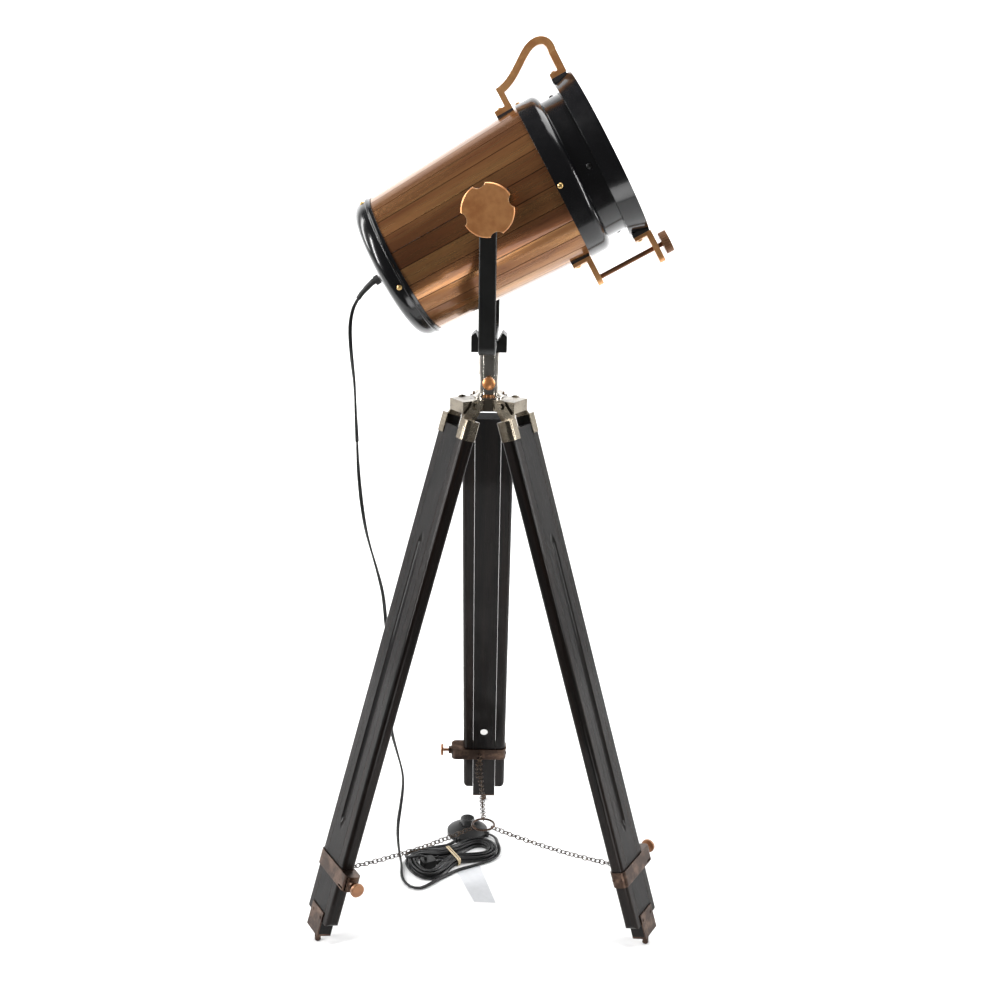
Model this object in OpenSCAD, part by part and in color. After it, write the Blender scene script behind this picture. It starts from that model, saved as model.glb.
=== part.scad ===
// Spotlight floor lamp on a folding wooden tripod.
// Millimetres, +Z up. The origin is on the floor, on the upright axis through the hub, and -Y is the front
// of the yoke's clamp knob. Leg 0 stands at the rear, leg 1 at the front left and leg 2 at the front right.

/* [Tripod legs] */
// Angle each leg leans out from upright when the tripod stands open, degrees
leg_lean = 17.28; // [14:0.02:19]
// Distance down the leg from its hinge to the lower end of its sliding slat
slat_reach = 712.5; // [640:0.5:760]
// Length of slat that shows below the rails
slat_show = 17.5; // [12:0.5:30]
// Distance down the leg from its hinge to the top of its slat
slat_top = 31; // [28:0.5:45]
// Width of the sliding slat
slat_w = 34; // [30:0.5:38]
// Thickness of the rails and the slat
leg_t = 18; // [14:0.5:20]
// Width of one rail at its upper end
rail_w_top = 16.6; // [14:0.1:20]
// Width of one rail at its lower end
rail_w_foot = 14.4; // [13:0.1:16]
// Radius of the rails' outer corners
rail_corner_r = 5.5; // [2:0.5:6.5]
// Radius that rounds off the lower end of each rail
rail_end_r = 7; // [3:0.5:9]
// Width of the long groove in the slat's outer face
groove_w = 13; // [6:0.5:16]
// Depth of that groove
groove_depth = 2.5; // [1:0.1:3.5]
// Distance down the leg to the groove's upper point
groove_top = 170; // [120:1:250]
// Distance from the groove's lower end to the slat's end
groove_foot = 139.5; // [100:0.5:260]
// How far a slat can be drawn out of its rails
slat_travel = 380; // [200:5:380]

/* [Leg fittings] */
// Radius from the tripod's axis to each leg's hinge bolt
hinge_r = 28; // [27:0.5:32]
// How far the middle of the leg's thickness stands outside its hinge
leg_offset = 6; // [4:0.5:8]
// Wall of the metal ferrule on each rail's upper end
ferrule_wall = 1.2; // [0.8:0.1:1.6]
// Height of the ferrules
ferrule_h = 25; // [18:0.5:32]
// Distance down the leg from its hinge to the ferrules' upper end
ferrule_top = 18.6; // [17:0.2:22]
// Thickness of the ears that hold the hinge bolt
ear_t = 3; // [2:0.2:4]
// Radius of the ears' rounded ends
ear_r = 8; // [7:0.5:9]
// Diameter of the hinge bolts
hinge_bolt_d = 5; // [4:0.2:6]
// Distance from the clamp's top to the slat's end
clamp_rise = 97.9; // [80:0.1:120]
// Height of the clamp band
clamp_h = 20.5; // [16:0.5:24]
// Thickness of the clamp's sheet metal
clamp_wall = 1.5; // [1:0.1:2]
// How far the clamp's housing stands out beside the leg
clamp_out = 17; // [14:0.5:22]
// Diameter of the clamp screw's shank
clamp_screw_d = 4.5; // [4:0.1:6]
// Diameter of the clamp screw's round head
clamp_head_d = 18; // [14:0.5:22]
// Thickness of that head
clamp_head_t = 4; // [3:0.5:6]
// Length of shank that shows between the housing's boss and the head
clamp_screw_show = 8; // [5:0.5:12]
// Height of the metal foot plate on the slat's outer face
foot_plate_h = 30; // [20:0.5:40]
// Thickness of the foot plate
foot_plate_t = 1.5; // [1:0.1:2.5]
// Thickness of the plate under the slat's end
foot_sole_t = 2.5; // [1.5:0.1:4]
// Diameter of the foot pin
foot_pin_d = 8; // [6:0.5:12]
// Height of the middle of the slat's end above the floor
foot_pin_h = 17.4; // [12:0.2:24]
// How far outside the middle of the slat the foot pin stands
foot_pin_out = 3; // [0:0.5:4]

/* [Hub and stem] */
// Height of the hub casting above the hinges
hub_above = 6; // [5:0.5:8]
// Height of the hub casting below the hinges
hub_below = 8.5; // [7:0.5:9]
// Radius of the hub's middle
hub_r = 24; // [20:0.5:26]
// Radius at which the hub's three lugs end
lug_end_r = 46; // [40:0.5:46]
// Radius of the flange at the foot of the socket tube
flange_r = 19; // [17:0.5:22]
// Height of the flange
flange_h = 5; // [4:0.5:8]
// Outer diameter of the socket tube
socket_tube_d = 24.5; // [23:0.5:26]
// Height of the socket tube above its flange
socket_tube_h = 24; // [20:0.5:40]
// Diameter of the turning spigot
spigot_d = 20.4; // [18:0.2:21]
// Outer diameter of the upper sleeve
sleeve_d = 26; // [25:0.5:30]
// Height of the upper sleeve
sleeve_h = 29.4; // [20:0.2:50]
// Height of the lock screw above the flange
lock_screw_h = 14.7; // [10:0.1:16]
// Diameter of the lock screw's shank
lock_screw_d = 5; // [4:0.2:6]
// Diameter of the lock screw's round head
lock_head_d = 16; // [12:0.5:20]

/* [Yoke] */
// Turn of the head and yoke on the stem, degrees
head_turn = -1.5; // [-20:0.5:20]
// Height of the tilt axis above the top of the sleeve
pivot_above = 176.6; // [172:0.2:200]
// Distance between the inner faces of the yoke's arms
yoke_gap = 220; // [216:1:250]
// Width of the yoke's bar
yoke_w = 20; // [16:0.5:24]
// Thickness of the yoke's bar
yoke_t = 6; // [5:0.5:9]
// Chamfer along the bar's edges
yoke_edge = 1.2; // [0.4:0.1:2]
// Outer radius of the yoke's two bends
yoke_bend_r = 12; // [9:0.5:20]
// Height of the arms' rounded ends above the tilt axis
yoke_end_h = 10; // [8:0.5:14]
// Width of the saddle that carries the yoke
saddle_w = 44; // [36:0.5:50]
// Depth of the saddle, front to back
saddle_depth = 34; // [26:0.5:50]
// Height of the saddle's folded sides
saddle_h = 23.6; // [18:0.2:26]
// Thickness of the saddle's sides
saddle_side_t = 6; // [4:0.5:9]
// Thickness of the saddle's floor
saddle_floor_t = 10.4; // [6:0.2:12]
// Width of the square plates at the tilt axis
pivot_plate_w = 46; // [40:0.5:50]
// Thickness of those plates
pivot_plate_t = 4; // [3:0.2:5]
// Diameter of the bosses that carry the shell
pivot_boss_d = 32; // [24:0.5:38]
// Diameter of the tilt screws' studs
stud_d = 8; // [6:0.2:10]
// Diameter of the tilt knobs
knob_d = 60; // [50:0.5:66]
// Thickness of the tilt knobs
knob_t = 15; // [10:0.5:20]
// Distance from the arm to the knob's inner face
knob_off = 12; // [8:0.5:16]
// Radius of the scallops in the knob's rim
knob_notch_r = 8.5; // [5:0.5:10]
// Number of scallops
knob_notches = 4; // [3:1:8]

/* [Lamp head] */
// Upward tilt of the head, degrees
head_tilt = 29.2; // [20:0.2:36]
// Distance from the rear edge of the staves to the tilt axis
pivot_along = 130; // [124:0.5:136]
// Depth of the shell's own axis below the tilt axis
axis_drop = 12.7; // [8:0.1:14]
// Outer radius of the staved shell at its rear edge
shell_r_rear = 87.4; // [82:0.2:90]
// Outer radius of the staved shell where it enters the collar
shell_r_front = 96.8; // [92:0.2:98]
// Length of the staved shell that shows
shell_len = 208; // [204:1:214]
// Wall of the staved shell
shell_wall = 4; // [3:0.2:6]
// Number of staves round the shell
stave_count = 26; // [16:1:32]
// Depth of the joint lines between the staves
stave_groove = 0.5; // [0.3:0.1:0.8]
// Depth of the back cap behind the staves
cap_depth = 30; // [27:0.5:34]
// How far the back cap's rim reaches over the staves
cap_lap = 6; // [3:0.5:8]
// Radius that rounds the back cap's edge
cap_edge_r = 15; // [10:0.5:20]
// Radius of the back cap's slightly domed back
cap_dome_r = 300; // [250:10:600]
// Wall of the spun metal parts
sheet_t = 1.5; // [1:0.1:2]
// Radius of the bead round the back cap's rim
bead_r = 1.6; // [1:0.1:2]
// Wall of the front collar round the staves
collar_wall = 2.5; // [1.5:0.1:4]
// Length of the front collar
collar_len = 29; // [26:0.5:31]
// Radius that rounds the collar's front edge
collar_edge_r = 10; // [6:0.5:10.5]
// Outer radius of the neck
neck_r = 88; // [84:0.2:89]
// Length of the neck that shows between the collar and the ring
neck_show = 23; // [20:0.5:30]
// Outer radius of the front ring at its rear edge
ring_r_rear = 98.6; // [97:0.2:100]
// Outer radius of the front ring at its front edge
ring_r_front = 103.8; // [102:0.2:105]
// Length of the front ring
ring_len = 23; // [20:0.5:26]
// Thickness of the lens at its rim
lens_rim_t = 4; // [3:0.5:5]
// Extra thickness of the lens at its middle
lens_bulge = 9; // [4:0.5:11]
// Diameter of the cable gland
gland_d = 12; // [10:0.5:16]
// Length of the cable gland outside the cap
gland_len = 9; // [6:0.5:14]
// Diameter of the lamp socket
socket_d = 40; // [36:0.5:46]
// Length of the lamp socket
socket_len = 48; // [40:1:56]
// Diameter of the bulb
bulb_d = 60; // [50:1:66]
// Length of the bulb's glass
bulb_len = 80; // [76:1:86]
// Diameter of the bulb's screw cap
bulb_cap_d = 26; // [24:0.2:28]

/* [Handle and rod] */
// Width of the handle and of the two brackets' bars
strap_w = 20; // [14:0.5:24]
// Thickness of the handle's bar
handle_t = 9; // [6:0.5:9]
// Thickness of the handle's feet
foot_t = 6; // [4:0.5:7]
// Thickness of the brackets' feet
bracket_foot_t = 4.5; // [3:0.5:6]
// Thickness of the pads under those feet
pad_t = 1.8; // [1:0.1:2.4]
// Turn of the two brackets round the shell, towards the clamp knob, degrees
bracket_turn = 12; // [0:1:16]
// Thickness of the brackets' arms
bracket_t = 7; // [5:0.5:8]
// Clearance between the rod and the screws of the bracket feet
rod_clear = 11.2; // [4:0.2:12]
// Diameter of the rod
rod_d = 6; // [4:0.2:8]
// Diameter of the rod's knurled knob
rod_knob_d = 27; // [22:0.5:30]
// Thickness of that knob
rod_knob_t = 9.6; // [7:0.2:12]

/* [Chains] */
// Height of the chain ring above the floor
chain_ring_h = 99; // [95:1:105]
// Outer diameter of the chain ring
chain_ring_d = 33; // [26:0.5:36]
// Diameter of the chain ring's wire
chain_ring_wire = 2.8; // [2:0.1:3.4]
// Number of links in each chain
link_count = 31; // [29:2:33]
// Diameter of the links' wire
link_wire = 1.4; // [1.2:0.1:1.6]
// Sag at the middle of each chain
chain_sag = 5; // [2:0.5:8]

/* [Cord, switch and plug] */
// Diameter of the cord
cord_d = 4.6; // [4:0.1:4.8]
// Number of loops in the cord's hank
hank_loops = 6; // [4:2:6]
// Half the length of the hank's innermost loop
hank_half_len = 54; // [48:0.5:56]
// Half the width of the innermost loop at its middle
hank_waist = 3; // [2.8:0.1:4]
// Diameter of the foot switch
switch_d = 60; // [52:0.5:62]
// Height of the foot switch's housing
switch_h = 14.5; // [13:0.5:18]
// Diameter of the foot switch's button
button_d = 21; // [18:0.5:24]
// How far the button stands out of the housing
button_show = 11; // [8:0.5:13]
// Travel of the button
button_travel = 3; // [2:0.5:3.5]
// Width of the elastic tie round the hank
tie_w = 5; // [3:0.5:8]
// Thickness of the elastic tie
tie_t = 1; // [0.6:0.1:1.4]
// Thickness of the blank paper tag
tag_t = 0.3; // [0.2:0.1:0.6]
// Length of the plug's body
plug_len = 20; // [18:0.5:22]
// Width of the plug's body
plug_w = 17; // [15:0.5:18]
// Height of the plug's body
plug_h = 12; // [10:0.5:14]

/* [Fits] */
// Radial clearance of pins and screws that turn in their holes
run_fit = 0.05; // [0.03:0.01:0.1]
// Gap between faces that slide past each other
face_gap = 0.2; // [0.1:0.05:0.3]
// Gap between seated pieces with curved faces
seat_gap = 0.05; // [0.02:0.01:0.1]

/* [Hidden] */
$fn = 96;
sides = ["rear", "left", "right"];
leg_turns = [90, 210, 330];
per_leg = ["rails", "slat", "ferrules", "foot", "clamp", "clamp_screw", "chain"];
singles = [
  "hub", "hinge_bolts", "socket_tube", "lock_screw", "chain_ring",
  "pan_stem", "saddle", "yoke", "pivot_plates", "tilt_knob_near", "tilt_knob_far",
  "pivot_bosses", "shell", "back_cap", "case_screws", "collar", "neck", "neck_screws",
  "front_ring", "lens", "handle", "rod_brackets", "foot_pads", "rod_knob",
  "lamp_socket", "bulb", "bulb_cap", "gland",
  "cord_upper", "cord_lower", "foot_switch", "switch_button", "cord_link", "cord_hank",
  "hank_tie", "tag", "plug_lead", "plug"
];

// Leg: distances down the leg are measured from its hinge
rail_reach = slat_reach - slat_show;
rail_top = ferrule_top + ferrule_wall;
rail_gap = slat_w / 2 + 2 * face_gap;
rail_half_top = rail_gap + rail_w_top;
rail_half_foot = rail_gap + rail_w_foot;
rail_taper = atan((rail_half_top - rail_half_foot) / (rail_reach - rail_top));
hinge_z = foot_pin_h + slat_reach * cos(leg_lean) - leg_offset * sin(leg_lean);
groove_r = (pow(groove_w / 2, 2) + pow(groove_depth, 2)) / (2 * groove_depth);
groove_point = 14;
groove_len = slat_reach - groove_foot - groove_top;
clamp_top = slat_reach - clamp_rise;
clamp_in_x = leg_t / 2 + face_gap;
clamp_in_y = rail_half_top - (clamp_top - rail_top) * tan(rail_taper) + face_gap;
clamp_mid = clamp_top + clamp_h / 2;
clamp_boss_t = 4.5;
clamp_boss_r = 6;
clamp_slot_h = 2.5;
rivet_r = 2;
rivet_h = 0.8;
staple_r = 3.2;
staple_wire = 1.6;
staple_side = 6;
staple_sink = 0.4;
foot_tip = 1.2;
foot_screw_r = 2;
foot_screw_h = 0.7;
foot_r = hinge_r + (leg_offset + foot_pin_out) * cos(leg_lean) + slat_reach * sin(leg_lean);
lug_w = 2 * (rail_gap - face_gap);
bolt_head_t = 3.2;
bolt_head_r = 4.6;
arch_r = 46;
arch_rise = 6;

// Stem and yoke heights
hub_top = hinge_z + hub_above;
tube_z = hub_top + flange_h;
sleeve_z = tube_z + socket_tube_h;
sleeve_top = sleeve_z + sleeve_h;
pivot_z = sleeve_top + pivot_above;
lock_z = tube_z + lock_screw_h;
lock_neck = 3;
lock_head_t = 6;
spigot_foot = 3;
crossbar_z = sleeve_top + saddle_floor_t;
arm_in = yoke_gap / 2;
arm_out = arm_in + yoke_t;
bend_in = yoke_bend_r - yoke_t;
saddle_bolt_r = 5.5;
saddle_bolt_h = 4;
plate_in = arm_in - pivot_plate_t;
boss_root = 70;
boss_end = plate_in - face_gap;
stud_tip = 99;
knob_in = arm_out + knob_off;
knob_face = knob_in + knob_t;
knob_hub_r = 12;
knob_edge = 2;
notch_reach = knob_d / 2 + 3.5;
notch_turn = 21;

// Head: distances along the shell's axis are measured from the rear edge of the staves
shell_rear = -7;
shell_end = shell_len + 6;
shell_slope = (shell_r_front - shell_r_rear) / shell_len;
cap_r = shell_r(cap_lap) + seat_gap + sheet_t;
collar_r = shell_r(shell_end) + seat_gap + collar_wall;
collar_front = shell_len + collar_len;
neck_rear = shell_len + 9;
ring_rear = collar_front + neck_show;
ring_front = ring_rear + ring_len;
ring_slope = (ring_r_front - ring_r_rear) / ring_len;
ring_wall = 2.5;
neck_front = ring_rear + 3;
lens_r = ring_r_rear - ring_wall - 1.5;
lens_dome_r = (pow(lens_r, 2) + pow(lens_bulge, 2)) / (2 * lens_bulge);
cap_dome_at = cap_dome_r - cap_depth;
cap_edge_at = cap_dome_at - sqrt(pow(cap_dome_r - cap_edge_r, 2) - pow(cap_r - cap_edge_r, 2));
cap_dome_end = (cap_r - cap_edge_r) * cap_dome_r / (cap_dome_r - cap_edge_r);
gland_stem_r = 4;
gland_nut_r = gland_stem_r + 4;
bead_at = cap_lap - 5;
socket_flange_r = 30;
socket_rear = cap_inside(socket_flange_r);
socket_front = socket_rear + socket_len;
socket_flange_t = 3;
bulb_neck_r = 14;
bulb_cap_in = 24;
socket_hollow = 6;
socket_hollow_r = 12;
screw_r = 3.2;
screw_h = 1.8;
cap_screw_at = bead_at - 5.5;
cap_screw_turn = -79;
collar_screw_at = shell_len + 4.5;
collar_screw_turn = -88;
neck_screw_at = ring_rear - 9;

// Handle and brackets, along the axis from the rear edge of the staves
handle_foot_rear = [shell_len - 24, shell_len - 2.5];
handle_foot_front = [ring_rear + 0.5, ring_rear + 19];
bracket_foot_rear = [shell_len - 25, shell_len - 1];
bracket_foot_front = [ring_rear + 2, ring_rear + 22.5];
strut_at = ring_rear + 15.5;
upright_at = shell_len - 6.5;
upright_t = 7.5;
handle_rise = 126.5;
handle_crest = 148;
bezier_steps = 10;
handle_foot_r = [shell_r(handle_foot_rear[1]) + pad_t, ring_r(handle_foot_front[1]) + pad_t];
bracket_foot_r = [shell_r(bracket_foot_rear[1]) + pad_t, ring_r(bracket_foot_front[1]) + pad_t];
rear_arm_at = shell_len - 4.2;
rod_axis_r = bracket_foot_r[1] + bracket_foot_t + seat_gap + screw_h + rod_clear + rod_d / 2;
rear_arm_past = 9;
rear_arm_end = rod_axis_r + rear_arm_past;
front_arm_at = ring_rear + 20.5;
front_arm_past = 19.5;
front_arm_end = rod_axis_r + front_arm_past;
rod_rear = rear_arm_at - bracket_t / 2 + 1;
rod_knob_at = front_arm_at + bracket_t / 2 + 5;
knurl_count = 28;
knurl_r = 1;

// Chain
ring_wire_r = (chain_ring_d - chain_ring_wire) / 2;
staple_x = leg_offset - clamp_in_x - clamp_wall + staple_sink - staple_r;
staple_at_r = hinge_r + staple_x * cos(leg_lean) + clamp_mid * sin(leg_lean);
staple_at_z = hinge_z + staple_x * sin(leg_lean) - clamp_mid * cos(leg_lean);
link_slack = 0.3;
link_span = norm([staple_at_r - ring_wire_r, staple_side, staple_at_z - chain_ring_h]);
link_pitch = link_span / link_count;
link_r = (link_pitch + link_slack + link_wire) / 2;
chain_from = [ring_wire_r + link_r - (chain_ring_wire + link_wire) / 2 - link_slack / 2, 0, chain_ring_h];
chain_to = [staple_at_r - link_r + (staple_wire + link_wire) / 2 + link_slack / 2, staple_side, staple_at_z];

// Cord: the route's points are chosen by hand, on the rings of the tube
cord_r = cord_d / 2;
floor_z = cord_r + tag_t + face_gap / 2;
head_dir = [cos(head_tilt) * cos(head_turn), cos(head_tilt) * sin(head_turn), sin(head_tilt)];
gland_end = head_point(-cap_depth - gland_len);
hanging_route = [
  [-157, 4, 829], [-168, 4, 811], [-173, 5, 786], [-172, 5, 752], [-169, 6, 716], [-168, 7, 680],
  [-167, 8, 640], [-166, 10, 600], [-163, 14, 556], [-157, 18, 512], [-146, 23, 466], [-138, 28, 426],
  [-135, 32, 386], [-133, 36, 344], [-133, 40, 300], [-132, 44, 256], [-129, 49, 212], [-121, 54, 174],
  [-115, 60, 138], [-118, 66, 98], [-123, 71, 62], [-124, 73, 34], [-122, 69, 14], [-119, 60, 4]
];
split_at = 6;
floor_route = [
  [-117, 46], [-116, 30], [-112, 12], [-102, -3], [-87, -7], [-73, 4], [-61, 17], [-48, 28],
  [-34, 40], [-17, 49], [2, 59], [16, 69], [23, 83], [24, 99], [21, 115], [19, 126]
];
switch_at = [-24, 146];
port_r = 4;
port_out = 4;
port_in_turn = -20;
port_out_turn = 240;
switch_rim_h = 6;
switch_top_r = button_d / 2 + 3;
dome_step = 0.5;
dome_foot_r = switch_d / 2 - dome_step;
dome_z = (pow(switch_h, 2) - pow(switch_rim_h, 2) + pow(switch_top_r, 2) - pow(dome_foot_r, 2))
  / (2 * (switch_h - switch_rim_h));
dome_r = norm([dome_foot_r, switch_rim_h - dome_z]);
button_well = 9;
button_gap = 0.3;
port_in = switch_port(port_in_turn);
port_out_end = switch_port(port_out_turn);
free_line = concat(
  [gland_end, gland_end - cord_d * head_dir],
  smooth_line(hanging_route),
  [for (p = floor_route) [p[0], p[1], floor_z]],
  [port_in + cord_d * port_dir(port_in_turn), port_in]
);
free_dirs = line_dirs(free_line, -head_dir, -port_dir(port_in_turn));
free_flats = line_sides(free_dirs, [0, 1, 0]);
split_ring = 2 * split_at + 2;

// Hank: innermost loop, then the spiral that lies round it in two layers
hank_at = [-43.5, 71];
hank_turn = 28;
hank_step = cord_d + 0.6;
hank_bulge = 40;
hank_skew = 0.35;
hank_start = 150;
hank_rings = 24;
hank_z = cord_r - cord_d / 10;
hank_lift = tie_t + 0.6;
lift_len = 20;
hank_line = [for (i = [0 : hank_loops * hank_rings]) hank_point(i / hank_rings)];
hank_first = unit(hank_line[1] - hank_line[0]);
hank_last = unit(hank_line[len(hank_line) - 1] - hank_line[len(hank_line) - 2]);
hank_end = hank_line[len(hank_line) - 1];
tie_clear = 0.6;
tie_half = hank_waist + hank_step * hank_loops / 2 + cord_r + tie_clear;
tie_top = hank_z + hank_step + hank_lift + cord_r + tie_clear;
link_line = [
  port_out_end, port_out_end + cord_d * port_dir(port_out_turn), [-53, 104, 3], [-66, 100, 3], [-80, 96, 3],
  [-92, 91, 3], hank_line[0] - cord_d * hank_first, hank_line[0]
];
plug_at = [-40.5, 0];
plug_entry = concat(hank_at + around(plug_at - [4, 0], hank_turn), [plug_h]);
lead_line = [
  hank_end, hank_end + cord_d * hank_last, [-112, 67, 9], [-112, 59, 12], [-106, 52, 15], [-98, 49, 18],
  [-89, 49, 19], plug_entry + [0, 0, cord_d], plug_entry
];
blade_len = 9.5;
blade_w = 6;
blade_t = 1.5;
blade_gap = 11;
tag_outline = [[-37, 38], [-34, 40], [-17, 49], [-4, 55], [18, -37], [-11, -35]];

function unit(v) = v / norm(v);
function around(p, a) = [p[0] * cos(a) - p[1] * sin(a), p[0] * sin(a) + p[1] * cos(a)];
function head_point(along) = [0, 0, pivot_z] + (along - pivot_along) * head_dir
  + axis_drop * [sin(head_tilt) * cos(head_turn), sin(head_tilt) * sin(head_turn), -cos(head_tilt)];
function shell_r(along) = shell_r_rear + shell_slope * along;
function ring_r(along) = ring_r_rear + ring_slope * (along - ring_rear);
function cap_inside(r) = cap_dome_at - sqrt(pow(cap_dome_r - sheet_t, 2) - r * r) + seat_gap;
function port_dir(a) = [cos(a), sin(a), 0];
function switch_port(a) = [switch_at[0], switch_at[1], port_r] + (switch_d / 2 + port_out) * port_dir(a);

// A point halfway between two others on a smooth line through the four
function halfway(a, b, c, d) = (9 * (b + c) - a - d) / 16;
function smooth_line(p) = [for (i = [0 : 2 * len(p) - 2])
  let (k = floor(i / 2), last = len(p) - 1)
  i % 2 == 0 ? p[k] : halfway(p[max(k - 1, 0)], p[k], p[k + 1], p[min(k + 2, last)])];

// The hank's centre line, t loops from its start: in on the lower layer and out on the upper one
function inner_loop(a) = let (w = 1 - hank_skew * cos(a))
  [hank_half_len * cos(a), (hank_bulge * sin(a) - (hank_bulge - hank_waist) * pow(sin(a), 3)) * w];
function loop_normal(a) = let (t = unit(inner_loop(a + 1) - inner_loop(a - 1))) [t[1], -t[0]];
function climb(t) = min(max((t - hank_loops / 2) * 2 + 0.5, 0), 1);
function hank_point(t) =
  let (a = hank_start + 360 * t)
  let (out = hank_step * abs(t - hank_loops / 2))
  let (flat = inner_loop(a) + out * loop_normal(a))
  let (rise = pow(max(0, 1 - pow(flat[0] / lift_len, 2)), 2))
  let (place = hank_at + around(flat, hank_turn))
  [place[0], place[1], hank_z + hank_step * climb(t) + hank_lift * rise];
function least_gap(p, skip) = min([for (i = [0 : len(p) - 1 - skip])
  min([for (j = [i + skip : len(p) - 1]) norm(p[i] - p[j])])]) - cord_d;
echo(hank_least_gap = least_gap(hank_line, hank_rings / 2));

// Directions of a line at its points, and for each a side direction that turns as little as it can
function line_dirs(p, first, last) = [for (i = [0 : len(p) - 1])
  i == 0 ? first : i == len(p) - 1 ? last : unit(p[i + 1] - p[i - 1])];
function square_to(v, dir) = unit(v - (v * dir) * dir);
function line_sides(dirs, start) = [for (i = 0, s = square_to(start, dirs[0]); i < len(dirs);
  i = i + 1, s = i < len(dirs) ? square_to(s, dirs[i]) : s) s];

// A tube round a line's points, from one of them to another, with flat ends square to the line
module tube_between(line, dirs, flats, from, to, corners) {
  points = [for (i = [from : to]) for (k = [0 : corners - 1])
    let (a = 360 * k / corners)
    let (p = line[i] + cord_r * (cos(a) * flats[i] + sin(a) * cross(dirs[i], flats[i])))
    [p[0], p[1], max(p[2], 0)]];
  top = (to - from) * corners;
  walls = [for (i = [0 : corners : top - 1]) for (k = [0 : corners - 1])
    let (a = i + k, b = i + (k + 1) % corners)
    for (face = [[a, a + corners, b], [b, a + corners, b + corners]]) face];
  ends = [for (k = [1 : corners - 2]) for (face = [[0, k, k + 1], [top, top + k + 1, top + k]]) face];
  polyhedron(points, concat(walls, ends));
}
module tube_along(line, first, last, corners) {
  dirs = line_dirs(line, first, last);
  color("#121212") tube_between(line, dirs, line_sides(dirs, [0, 0, 1]), 0, len(line) - 1, corners);
}

// Frames of reference
module leg_frame(i) {
  rotate([0, 0, leg_turns[i]]) translate([hinge_r, 0, hinge_z]) rotate([0, -leg_lean, 0]) children();
}
module yoke_frame() {
  translate([0, 0, pivot_z]) rotate([0, 0, head_turn]) children();
}
module head_frame() {
  yoke_frame() rotate([0, -head_tilt, 0]) translate([-pivot_along, 0, -axis_drop]) children();
}
// Turned parts: Z runs forward along the shell's axis and X points down
module on_axis() {
  head_frame() rotate([0, 90, 0]) children();
}
// Profiles of the handle and brackets: X runs forward and Y away from the axis
module strap(turn, width) {
  head_frame() rotate([turn, 0, 0]) rotate([90, 0, 0]) translate([0, 0, -width / 2]) linear_extrude(width) children();
}

module rounded_rect(w, h, r) {
  translate([-w / 2 + r, -h / 2]) square([w - 2 * r, h]);
  translate([-w / 2, -h / 2 + r]) square([w, h - 2 * r]);
  for (x = [-1, 1]) for (y = [-1, 1]) translate([x * (w / 2 - r), y * (h / 2 - r)]) circle(r);
}
module domed_screw(r, h) {
  difference() {
    intersection() {
      cylinder(h = h, r = r, $fn = 32);
      translate([0, 0, h - r * 1.3]) sphere(r * 1.3, $fn = 32);
    }
    translate([-r, -r / 8, h * 0.6]) cube([2 * r, r / 4, h]);
  }
}

// One rail, grown outwards by grow, between two distances down the leg
module rail_block(grow, top, foot) {
  corner = rail_corner_r + grow;
  intersection() {
    translate([leg_offset, rail_half_top + grow, -rail_top]) rotate([-rail_taper, 0, 0])
      translate([0, -2 * leg_t, -rail_reach]) linear_extrude(2 * rail_reach)
        translate([0, leg_t]) rounded_rect(leg_t + 2 * grow, 2 * leg_t, corner);
    translate([leg_offset - leg_t, rail_gap, -foot]) cube([2 * leg_t, 2 * leg_t, foot - top]);
  }
}
module both_sides() {
  children();
  mirror([0, 1, 0]) children();
}
module rails(i) {
  color("#2b211d") leg_frame(i) both_sides() intersection() {
    rail_block(0, rail_top, rail_reach);
    translate([leg_offset - leg_t, 0, 0]) rotate([90, 0, 90]) linear_extrude(2 * leg_t) union() {
      translate([0, -rail_reach + rail_end_r]) square([2 * rail_half_top, rail_reach]);
      translate([0, -rail_reach]) square([rail_half_foot - rail_end_r, rail_reach]);
      translate([rail_half_foot - rail_end_r, -rail_reach + rail_end_r]) circle(rail_end_r);
    }
  }
}
module slat(i) {
  groove_axis = leg_offset + leg_t / 2 - groove_depth + groove_r;
  color("#3a302b") leg_frame(i) difference() {
    translate([leg_offset - leg_t / 2, -slat_w / 2, -slat_reach]) cube([leg_t, slat_w, slat_reach - slat_top]);
    translate([groove_axis, 0, -groove_top - groove_len + groove_point])
      cylinder(h = groove_len - 2 * groove_point, r = groove_r);
    translate([groove_axis, 0, -groove_top - groove_point])
      cylinder(h = groove_point, r1 = groove_r, r2 = groove_r - groove_depth);
    translate([groove_axis, 0, -groove_top - groove_len])
      cylinder(h = groove_point, r1 = groove_r - groove_depth, r2 = groove_r);
  }
}
module ear() {
  translate([0, rail_gap, 0]) rotate([90, 0, 0]) translate([0, 0, -ear_t]) difference() {
    linear_extrude(ear_t) union() {
      circle(ear_r);
      polygon([
        [-ear_r, 0], [0, -ear_r], [ear_r, 0], [leg_offset + leg_t / 2, -ferrule_top - ferrule_wall / 2],
        [leg_offset - leg_t / 2, -ferrule_top - ferrule_wall / 2]
      ]);
    }
    translate([0, 0, -1]) cylinder(h = ear_t + 2, d = hinge_bolt_d + 2 * run_fit);
  }
}
module ferrules(i) {
  color("#8d8576") leg_frame(i) both_sides() {
    difference() {
      rail_block(ferrule_wall, ferrule_top, ferrule_top + ferrule_h);
      rail_block(seat_gap, rail_top, ferrule_top + ferrule_h + 1);
    }
    ear();
  }
}
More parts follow.
